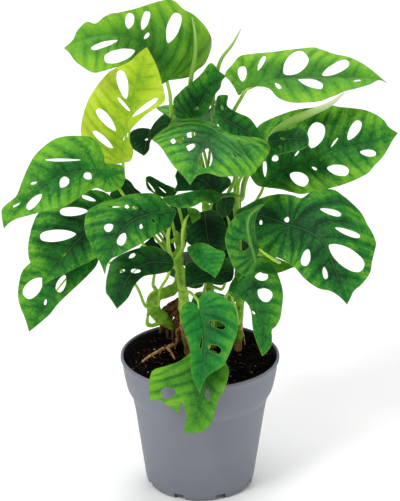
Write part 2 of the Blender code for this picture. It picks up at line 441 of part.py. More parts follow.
def bend(leaf, flat):
    """Where points of the flat blade (mm along the midrib, mm to its right) lie on the bent blade."""
    flat = np.asarray(flat, float)
    line, length = leaf["line"], leaf["length"]
    t = np.gradient(line, axis=0)
    t /= np.linalg.norm(t, axis=1)[:, None]
    s = flat[:, 0] / length
    k = np.clip(s, 0, 1)
    at = np.linspace(0, 1, 61)
    middle = np.stack([np.interp(k, at, line[:, j]) for j in range(3)], -1)
    t = np.stack([np.interp(k, at, t[:, j]) for j in range(3)], -1)
    t /= np.linalg.norm(t, axis=1)[:, None]
    middle = middle + t * ((s - k) * length)[:, None]
    look = facing(*leaf["face"][0]) * (1 - k)[:, None] + facing(*leaf["face"][1]) * k[:, None]
    side = np.cross(t, look)
    side /= np.linalg.norm(side, axis=1)[:, None]
    up = np.cross(side, t)
    right = flat[:, 1] >= 0
    start = np.radians(np.where(right, leaf["fold"][1], leaf["fold"][0]))
    turn = np.radians(np.where(right, leaf["curl"][1], leaf["curl"][0])) / 40 + 1e-6
    far = np.abs(flat[:, 1])
    over = (np.sin(start + turn * far) - np.sin(start)) / turn
    rise = (np.cos(start) - np.cos(start + turn * far)) / turn
    rise += 1.2 * (far / 35) ** 2 * np.sin(flat[:, 0] / 6.2 + np.where(right, 0.4, 2.2))
    return middle + side * (np.sign(flat[:, 1]) * over)[:, None] + up * rise[:, None]


def flatten(leaf, spots):
    """The flat-blade points of spots picked in the front view."""
    spots = np.asarray(spots, float)
    a, b = np.meshgrid(np.linspace(-0.45, 1.1, 63) * leaf["length"], np.linspace(-75, 75, 76), indexing="ij")
    grid = np.stack([a.ravel(), b.ravel()], -1)
    view = front_view(bend(leaf, grid))
    near = np.argmin(((spots[:, None] - view[None]) ** 2).sum(-1), 1)
    flat = grid[near].copy()
    for _ in range(6):
        here = front_view(bend(leaf, flat))
        da = (front_view(bend(leaf, flat + (0.1, 0))) - here) / 0.1
        db = (front_view(bend(leaf, flat + (0, 0.1))) - here) / 0.1
        miss = spots - here
        det = da[:, 0] * db[:, 1] - da[:, 1] * db[:, 0]
        det = np.where(np.abs(det) < 0.05, 0.05 * np.sign(det + 1e-9), det)
        step = np.stack([miss[:, 0] * db[:, 1] - miss[:, 1] * db[:, 0],
                         da[:, 0] * miss[:, 1] - da[:, 1] * miss[:, 0]], -1) / det[:, None]
        flat += np.clip(step, -4, 4)
    return flat


def slit(x0, y0, x1, y1, width, points):
    """An oval hole from its inner end to its outer end, a little wider towards the outer end."""
    turn = np.arange(points) / points * 2 * math.pi
    run = 0.5 - 0.5 * np.cos(turn)
    aside = 0.5 * width * np.sin(turn) * (0.85 + 0.3 * run)
    dx, dy = x1 - x0, y1 - y0
    size = math.hypot(dx, dy)
    return np.stack([x0 + dx * run - dy / size * aside, y0 + dy * run + dx / size * aside], -1)


def outlines(leaf, steps, hole_points):
    """A leaf's edge and its holes on the flat blade."""
    if "half_width" not in leaf:
        edge = flatten(leaf, smooth(leaf["edge"], steps, closed=True))
        return edge, [flatten(leaf, slit(*hole, hole_points)) for hole in leaf["holes"]]
    size = np.array([leaf["length"], leaf["half_width"]])
    loop = PLAIN_EDGE + [(along, -aside) for along, aside in reversed(PLAIN_EDGE)]
    holes = []
    for a0, b0, a1, b1, width in leaf["holes"]:
        holes.append(slit(a0 * size[0], b0 * size[1], a1 * size[0], b1 * size[1], width, hole_points))
    return smooth(np.array(loop) * size, steps, closed=True), holes


def inside(loop, spots):
    """Which spots lie inside a closed loop."""
    spots = np.asarray(spots, float)
    result = np.zeros(len(spots), bool)
    for (x0, y0), (x1, y1) in zip(loop, np.roll(loop, -1, 0)):
        crosses = (y0 > spots[:, 1]) != (y1 > spots[:, 1])
        at = x0 + (x1 - x0) * (spots[:, 1] - y0) / (y1 - y0 + 1e-12)
        result ^= crosses & (spots[:, 0] < at)
    return result


def clear_of(loop, spots, room):
    """Which spots are more than room away from every side of a loop."""
    least = np.full(len(spots), 1e9)
    for p, q in zip(loop, np.roll(loop, -1, 0)):
        k = np.clip(((spots - p) @ (q - p)) / ((q - p) @ (q - p) + 1e-12), 0, 1)
        least = np.minimum(least, np.linalg.norm(spots - p - k[:, None] * (q - p), axis=1))
    return least > room


def new_object(name, mesh, collection):
    obj = bpy.data.objects.new(name, mesh)
    collection.objects.link(obj)
    return obj


def mesh_from(name, bm):
    mesh = bpy.data.meshes.new(name)
    bm.to_mesh(mesh)
    bm.free()
    return mesh


def add_modifier(obj, kind, **settings):
    modifier = obj.modifiers.new(kind.title(), kind)
    for key, value in settings.items():
        setattr(modifier, key, value)
    return modifier


def settle(obj):
    """Apply every modifier."""
    graph = bpy.context.evaluated_depsgraph_get()
    mesh = bpy.data.meshes.new_from_object(obj.evaluated_get(graph))
    obj.modifiers.clear()
    obj.data = mesh


def combine(obj, other, operation, solver="MANIFOLD"):
    """Boolean with another object, applied."""
    add_modifier(obj, "BOOLEAN", operation=operation, object=other, solver=solver)
    settle(obj)


def remove(obj):
    bpy.data.objects.remove(obj, do_unlink=True)


def tube(name, points, radii, collection, resolution=1):
    """A round, capped tube through points (millimetres), as a closed mesh."""
    curve = bpy.data.curves.new(name, "CURVE")
    curve.dimensions = "3D"
    curve.bevel_depth = MM
    curve.bevel_resolution = resolution
    curve.use_fill_caps = True
    line = curve.splines.new("POLY")
    line.points.add(len(points) - 1)
    for spot, p, radius in zip(line.points, points, radii):
        spot.co = (p[0] * MM, p[1] * MM, p[2] * MM, 1.0)
        spot.radius = radius
    guide = new_object(name + "_line", curve, collection)
    graph = bpy.context.evaluated_depsgraph_get()
    mesh = bpy.data.meshes.new_from_object(guide.evaluated_get(graph))
    obj = new_object(name, mesh, collection)
    obj.matrix_world = guide.matrix_world.copy()
    remove(guide)
    bm = bmesh.new()
    bm.from_mesh(mesh)
    bmesh.ops.remove_doubles(bm, verts=bm.verts, dist=0.00001)
    bmesh.ops.recalc_face_normals(bm, faces=bm.faces)
    bm.to_mesh(mesh)
    bm.free()
    return obj


def turned(name, profile, collection, steps):
    """A turned piece: the profile (radius, height in mm) runs down its outer side and back up inside."""
    bm = bmesh.new()
    verts = [bm.verts.new((r * MM, 0, z * MM)) for r, z in profile]
    for a, b in zip(verts, verts[1:]):
        bm.edges.new((a, b))
    if profile[0][0] > 0:
        bm.edges.new((verts[-1], verts[0]))
    obj = new_object(name, mesh_from(name, bm), collection)
    add_modifier(obj, "SCREW", steps=steps, render_steps=steps, use_merge_vertices=True, merge_threshold=0.00001,
                 use_smooth_shade=True)
    settle(obj)
    return obj


def paint(obj, colour, roughness):
    material = bpy.data.materials.new(obj.name)
    material.use_nodes = True
    shader = material.node_tree.nodes["Principled BSDF"]
    shader.inputs["Base Color"].default_value = (*colour, 1.0)
    shader.inputs["Roughness"].default_value = roughness
    obj.data.materials.clear()
    obj.data.materials.append(material)


def place_origin(obj, point):
    """Put the object's origin at a point (mm) without moving its shape."""
    obj.data.transform(obj.matrix_world)
    shift = Vector(point) * MM
    for vert in obj.data.vertices:
        vert.co -= shift
    obj.matrix_world.identity()
    obj.location = shift


def foot_on(stem, path, radius):
    """A petiole's path, turned in at its foot to end square on the stem with a fit gap."""
    line, radii = stem
    point, spot, reach = path[-1], None, 1e9
    for a, b in zip(line, line[1:]):
        k = np.clip(((point - a) @ (b - a)) / ((b - a) @ (b - a)), 0, 1)
        near = a + k * (b - a)
        if np.linalg.norm(near - point) < reach:
            spot, along, reach = near, (b - a) / np.linalg.norm(b - a), np.linalg.norm(near - point)
    out = point - spot
    out -= along * (out @ along)
    out /= np.linalg.norm(out)
    size = radii[int(np.argmin(np.linalg.norm(line - spot, axis=1)))]
    knee = spot + out * (size + 2.2 * radius + 1.5)
    keep = [p for p in path if np.linalg.norm(p - spot) > size + 3 * radius + 2.5]
    return np.array([*keep, knee, spot + out * (size + FIT_GAP)])


def blade(name, leaf, collection):
    """The bent, holed blade as one thin solid."""
    edge, holes = outlines(leaf, EDGE_STEPS, HOLE_POINTS)
    loops = [edge] + holes
    low, high = edge.min(0), edge.max(0)
    rows = np.arange(math.floor(low[1] / GRID), math.ceil(high[1] / GRID) + 1)
    grid = [(a + (GRID / 2 if row % 2 else 0), row * GRID)
            for row in rows for a in np.arange(low[0], high[0], GRID)]
    grid = np.array(grid)
    keep = inside(edge, grid) & clear_of(edge, grid, 4.0)
    for hole in holes:
        keep &= ~inside(hole, grid) & clear_of(hole, grid, 3.0)
    points = [Vector(p) for p in grid[keep]]
    sides = []
    for loop in loops:
        start = len(points)
        points += [Vector(p) for p in loop]
        sides += [(start + i, start + (i + 1) % len(loop)) for i in range(len(loop))]
    flat, _, faces, *_ = delaunay_2d_cdt(points, sides, [], 0, 0.01)
    flat = np.array([tuple(p) for p in flat])
    centres = np.array([flat[list(face)].mean(0) for face in faces])
    keep = inside(edge, centres)
    for hole in holes:
        keep &= ~inside(hole, centres)
    bm = bmesh.new()
    verts = [bm.verts.new(Vector(p) * MM) for p in bend(leaf, flat)]
    for face, wanted in zip(faces, keep):
        if wanted:
            bm.faces.new([verts[i] for i in face])
    bmesh.ops.delete(bm, geom=[v for v in bm.verts if not v.link_faces], context="VERTS")
    obj = new_object(name, mesh_from(name, bm), collection)
    add_modifier(obj, "SOLIDIFY", thickness=BLADE_THICKNESS * MM, offset=0.0)
    settle(obj)
    return obj


def clean(mesh):
    """Split a mesh into triangles, and say whether every edge then has exactly two faces."""
    bm = bmesh.new()
    bm.from_mesh(mesh)
    bmesh.ops.remove_doubles(bm, verts=bm.verts, dist=0.00002)
    bmesh.ops.triangulate(bm, faces=bm.faces)
    good = all(len(edge.link_faces) == 2 for edge in bm.edges)
    bm.to_mesh(mesh)
    bm.free()
    return good


def make_leaf(name, leaf, stems, collection, cutters):
    """A blade with its petiole grown together, the petiole standing against its stem."""
    leaf["line"], leaf["length"] = midrib(leaf)
    obj = blade(name, leaf, collection)
    ahead = bend(leaf, [(0.16 * leaf["length"], 0)])[0]
    thick = leaf.get("thick", PETIOLE_RADIUS)
    path = foot_on(stems[leaf["on"]], [ahead, leaf["line"][0], *leaf["stalk"]], thick)
    radii = np.full(len(path), thick)
    radii[[0, 1, -1]] = 0.5, thick * 0.9, thick * 1.5
    whole = obj.data
    for shift in (0.0, 0.12, -0.12, 0.24, -0.24, 0.36):
        obj.data = whole.copy()
        moved = path + facing(*leaf["face"][0]) * shift * np.linspace(1, 0, len(path))[:, None]
        stalk = tube(name + "_stalk", moved, radii, cutters)
        combine(obj, stalk, "UNION")
        remove(stalk)
        if clean(obj.data):
            break
    place_origin(obj, leaf["line"][0])
    paint(obj, (0.05, 0.22, 0.03), 0.4)
    return obj


def in_mm(points):
    return [np.array(seen(*p)) for p in points]


def swelling(radii, seed):
    """Radii along a stem with swollen rings where leaves were."""
    rng = random.Random(seed)
    every = rng.choice([5, 6])
    return np.array([r * (1.16 if i % every == 3 else 1.0) for i, r in enumerate(radii)])


def make_pot(parts, cutters):
    """Thin moulded shell with a rolled lip, a collar, a stepped shoulder and drain slots at its foot."""
    top, rim, wall = POT_HEIGHT, POT_RIM_RADIUS, POT_WALL
    outer = [(rim - 1.4, top), (rim - 0.2, top - 0.6), (rim, top - 2), (rim - 0.8, top - 3.2), (57.2, 88),
             (55.2, 78.5), (51.2, 71.5), (49.6, 62), (42.8, 12), (41.4, 3), (39.1, 0), (0, 0)]
    floor = 1.6
    inner = [(0, floor), (41.4 - wall - 1.6, floor), (41.7 - wall, 4), (42.8 - wall, 12), (49.6 - wall, 62),
             (51.2 - wall, 72), (55.2 - wall, 79), (57.2 - wall, 88), (rim - 0.8 - wall, top - 3)]
    pot = turned("pot", outer + inner, parts, POT_TURN)
    slots = []
    for i in range(8):
        turn = (i + 0.5) * math.pi / 4
        spot = (41 * MM * math.cos(turn), 41 * MM * math.sin(turn), 1.5 * MM)
        bpy.ops.mesh.primitive_cube_add(size=1, location=spot)
        slot = bpy.context.object
        slot.name = "drain_slot_%d" % (i + 1)
        slot.scale = (7 * MM, 9 * MM, 6 * MM)
        slot.rotation_euler = (0, 0, turn)
        for owner in list(slot.users_collection):
            owner.objects.unlink(slot)
        cutters.objects.link(slot)
        slots.append(slot)
    bpy.context.view_layer.update()
    for slot in slots:
        combine(pot, slot, "DIFFERENCE")
        remove(slot)
    paint(pot, (0.26, 0.28, 0.33), 0.5)


def make_stems(parts, cutters):
    """The climbing stems, each with the hole it needs in the soil."""
    stems, holes = {}, []
    for seed, (name, path) in enumerate(STEMS.items()):
        points = in_mm([p[:3] for p in path])
        points.insert(0, np.array([points[0][0], points[0][1], SOIL_TOP - 18.0]))
        points = smooth(points, 3)
        radii = np.interp(np.arange(len(points)) / 3, np.arange(1, len(path) + 1), [p[3] for p in path])
        radii = swelling(radii, seed)
        obj = tube(name, points, radii, parts, resolution=2)
        if name == "stem_left":
            line = smooth(in_mm([p[:3] for p in SHEATH]), 2)
            sizes = np.interp(np.arange(len(line)) / 2, np.arange(len(SHEATH)), [p[3] for p in SHEATH])
            sheath = tube("sheath", line, sizes, cutters)
            combine(obj, sheath, "UNION")
            remove(sheath)
        holes.append(tube(name + "_hole", points, radii + FIT_GAP, cutters, resolution=2))
        stems[name] = (points, radii)
        paint(obj, (0.18, 0.3, 0.06), 0.5)
        place_origin(obj, points[0])
    return stems, holes


def make_soil(parts, cutters, holes):
    """Soil filling the pot, with crumbs on top and a hole for each stem."""
    profile = [(0, 98.6), (20, 98.8), (40, 97.9), (56.2, 97.0), (55.4, 88), (53.4, 79.2), (49.3, 72.1),
               (47.8, 62), (41.0, 12), (39.7, 4.3), (38.0, 1.9), (0, 1.9)]
    soil = turned("soil", profile, parts, POT_TURN)
    rng = random.Random(4)
    for _ in range(16):
        out, turn = 20 + 32 * math.sqrt(rng.random()), rng.uniform(0, 2 * math.pi)
        bm = bmesh.new()
        bmesh.ops.create_icosphere(bm, subdivisions=1, radius=rng.uniform(1.4, 2.4) * MM)
        crumb = new_object("crumb", mesh_from("crumb", bm), cutters)
        crumb.location = (out * math.cos(turn) * MM, out * math.sin(turn) * MM, 97.6 * MM)
        crumb.rotation_euler = (rng.random() * 3, rng.random() * 3, 0)
        bpy.context.view_layer.update()
        combine(soil, crumb, "UNION")
        remove(crumb)
    for hole in holes:
        combine(soil, hole, "DIFFERENCE")
        remove(hole)
    paint(soil, (0.02, 0.014, 0.01), 0.95)


def make_root(parts, cutters):
    """A dried, forked root lying on the soil."""
    main_strand = smooth([(x, y, SOIL_TOP + 3.2) for x, y in ROOT], 2)
    side_strand = smooth([(x, y, SOIL_TOP + 3.0) for x, y in ROOT_BRANCH], 2)
    root = tube("root_dry", main_strand, np.linspace(0.8, 1.5, len(main_strand)), parts)
    side = tube("side_strand", side_strand, np.linspace(1.1, 0.6, len(side_strand)), cutters)
    combine(root, side, "UNION")
    remove(side)
    place_origin(root, main_strand[0])
    paint(root, (0.5, 0.36, 0.2), 0.8)


def make_furled(name, furled, stems, parts):
    """A new leaf still rolled up, on its own petiole."""
    points = foot_on(stems[furled["on"]], in_mm(furled["path"]), furled["radius"] * 0.75)
    points = np.vstack([smooth(points[:-1], 2), points[-1:]])
    share = np.linspace(0, 1, len(points))
    radii = np.interp(share, [0, 0.12, 0.3, 0.5, 0.62, 1], [0.35, 0.7, 1, 1, 0.7, 0.75]) * furled["radius"]
    obj = tube(name, points, radii, parts)
    place_origin(obj, points[-1])
    paint(obj, (0.3, 0.45, 0.1), 0.45)


def main():
    for obj in list(bpy.data.objects):
        bpy.data.objects.remove(obj, do_unlink=True)
    parts = bpy.data.collections.new("monstera_adansonii")
    cutters = bpy.data.collections.new("cutters")
    for collection in (parts, cutters):
        bpy.context.scene.collection.children.link(collection)
    make_pot(parts, cutters)
    stems, holes = make_stems(parts, cutters)
    make_soil(parts, cutters, holes)
    make_root(parts, cutters)
    for name, leaf in LEAVES.items():
        leaf["points"] = in_mm(leaf["rib"])
        leaf["stalk"] = in_mm(leaf["stalk"])
        make_leaf(name, leaf, stems, parts, cutters)
    for name, furled in FURLED.items():
        make_furled(name, furled, stems, parts)
    for cutter in list(cutters.objects):
        remove(cutter)
    for obj in parts.objects:
        obj.data.shade_smooth()
        obj.data.set_sharp_from_angle(angle=math.radians(40))


main()
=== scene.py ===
"""Monstera adansonii in a 12 cm nursery pot, with fine leaves, stems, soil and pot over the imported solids.

Lengths in the tables are millimetres. Leaves and stems are laid out by how they are seen from the front:
across and down in steps of the front view, and depth behind the pot's middle.
"""

import math
import random

import bpy
import bmesh
import numpy as np
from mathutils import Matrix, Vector, noise
from mathutils.geometry import delaunay_2d_cdt


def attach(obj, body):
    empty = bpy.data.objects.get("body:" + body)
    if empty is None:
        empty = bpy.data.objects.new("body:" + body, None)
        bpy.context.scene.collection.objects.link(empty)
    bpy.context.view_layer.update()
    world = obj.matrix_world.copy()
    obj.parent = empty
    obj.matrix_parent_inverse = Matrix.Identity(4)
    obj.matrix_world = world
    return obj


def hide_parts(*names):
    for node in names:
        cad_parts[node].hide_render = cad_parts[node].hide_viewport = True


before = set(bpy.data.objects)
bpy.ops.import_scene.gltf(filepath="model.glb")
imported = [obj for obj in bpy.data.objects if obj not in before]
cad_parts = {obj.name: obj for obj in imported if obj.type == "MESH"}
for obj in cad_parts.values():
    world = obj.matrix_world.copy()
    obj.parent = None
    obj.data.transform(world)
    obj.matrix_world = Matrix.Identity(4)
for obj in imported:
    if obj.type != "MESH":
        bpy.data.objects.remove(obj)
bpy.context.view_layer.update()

MM = 0.001
MM_IN_CM = 10.0

# Front view: where the eye stands, what it looks at, its scale, its middle and its height in steps
EYE = np.array([0.0, -1200.0, 651.0])
AIM = np.array([0.0, 0.0, 187.0])
VIEW_STEPS = 1745.0
VIEW_MIDDLE = (200.0, 250.5)
VIEW_TALL = 501.0

AHEAD = (AIM - EYE) / np.linalg.norm(AIM - EYE)
ACROSS = np.array([1.0, 0.0, 0.0])
UPWARD = np.cross(ACROSS, AHEAD)

# Leaves: sizes that all of them share. CURL_REACH is how far out a half has turned by its curl. The margins
# wave up and down by WAVE_HEIGHT at WAVE_REACH from the midrib, and WAVE_RUN sets how fast. FINE_RIBS lie
# between two side veins. PATTERN_SHIFT keeps the patterns of two leaves apart. FAR_OFF is the distance to a
# fold for a leaf that has none.
BLADE_THICKNESS = 0.45
PETIOLE_RADIUS = 1.25
RIB_POINTS = 61
CURL_REACH = 40.0
WAVE_HEIGHT = 1.2
WAVE_REACH = 35.0
WAVE_RUN = 6.2
VEIN_SPACING = 10.5
FINE_RIBS = 3
PATTERN_SHIFT = 7.3
FAR_OFF = 99.0

# How finely a blade is made: its triangles, the steps between edge points, the points round a hole, and
# how far the inner points keep from the edge and from a hole
MESH_SIZE = 1.35
EDGE_STEPS = 6
HOLE_POINTS = 26
EDGE_GAP = 0.8
HOLE_GAP = 0.7

# Pot and soil, turned round the middle line: radius and height. WALL_MIDDLE runs up inside the pot's wall.
# The drain slots are cut at FOOT_RADIUS, and the stems reach STEM_FOOT_DEPTH below the soil's top.
SOIL_TOP = 98.0
SOIL_RADIUS = 56.3
SOIL_SIDE = [(SOIL_RADIUS, 97.0), (55.4, 88), (53.4, 79.2), (49.3, 72.1), (47.8, 62), (41.0, 12), (39.7, 4.3),
             (38.0, 1.9)]
POT_OUTSIDE = [(58.0, 103.6), (58.6, 104.0), (59.4, 103.9), (59.9, 103.3), (60.0, 102.2), (59.8, 101.2),
               (59.3, 100.7), (58.9, 100.2), (58.5, 97), (57.2, 88), (55.6, 80.2), (55.2, 78.7), (54.6, 77.4),
               (52.6, 73.4), (51.6, 71.8), (51.2, 70.8), (50.9, 68), (49.6, 62), (46.2, 37), (42.8, 12),
               (42.0, 6), (41.4, 3), (40.8, 1.2), (39.9, 0.25), (39.1, 0.0), (30, 0.0), (29.4, 0.5),
               (12, 0.5), (11.4, 0.0), (0, 0.0)]
POT_INSIDE = [(0, 1.6), (38.4, 1.6), (39.6, 2.4), (40.5, 5), (41.4, 12), (48.2, 62), (49.6, 70.5),
              (51.0, 73.4), (53.8, 79.4), (55.8, 88), (57.3, 98), (57.8, 101.8)]
WALL_MIDDLE = [(48.9, 62), (50.5, 72), (54.4, 79), (56.4, 88), (58.0, 101)]
FOOT_RADIUS = 41.0
DRAIN_SLOTS = 8
STEM_FOOT_DEPTH = 18.0

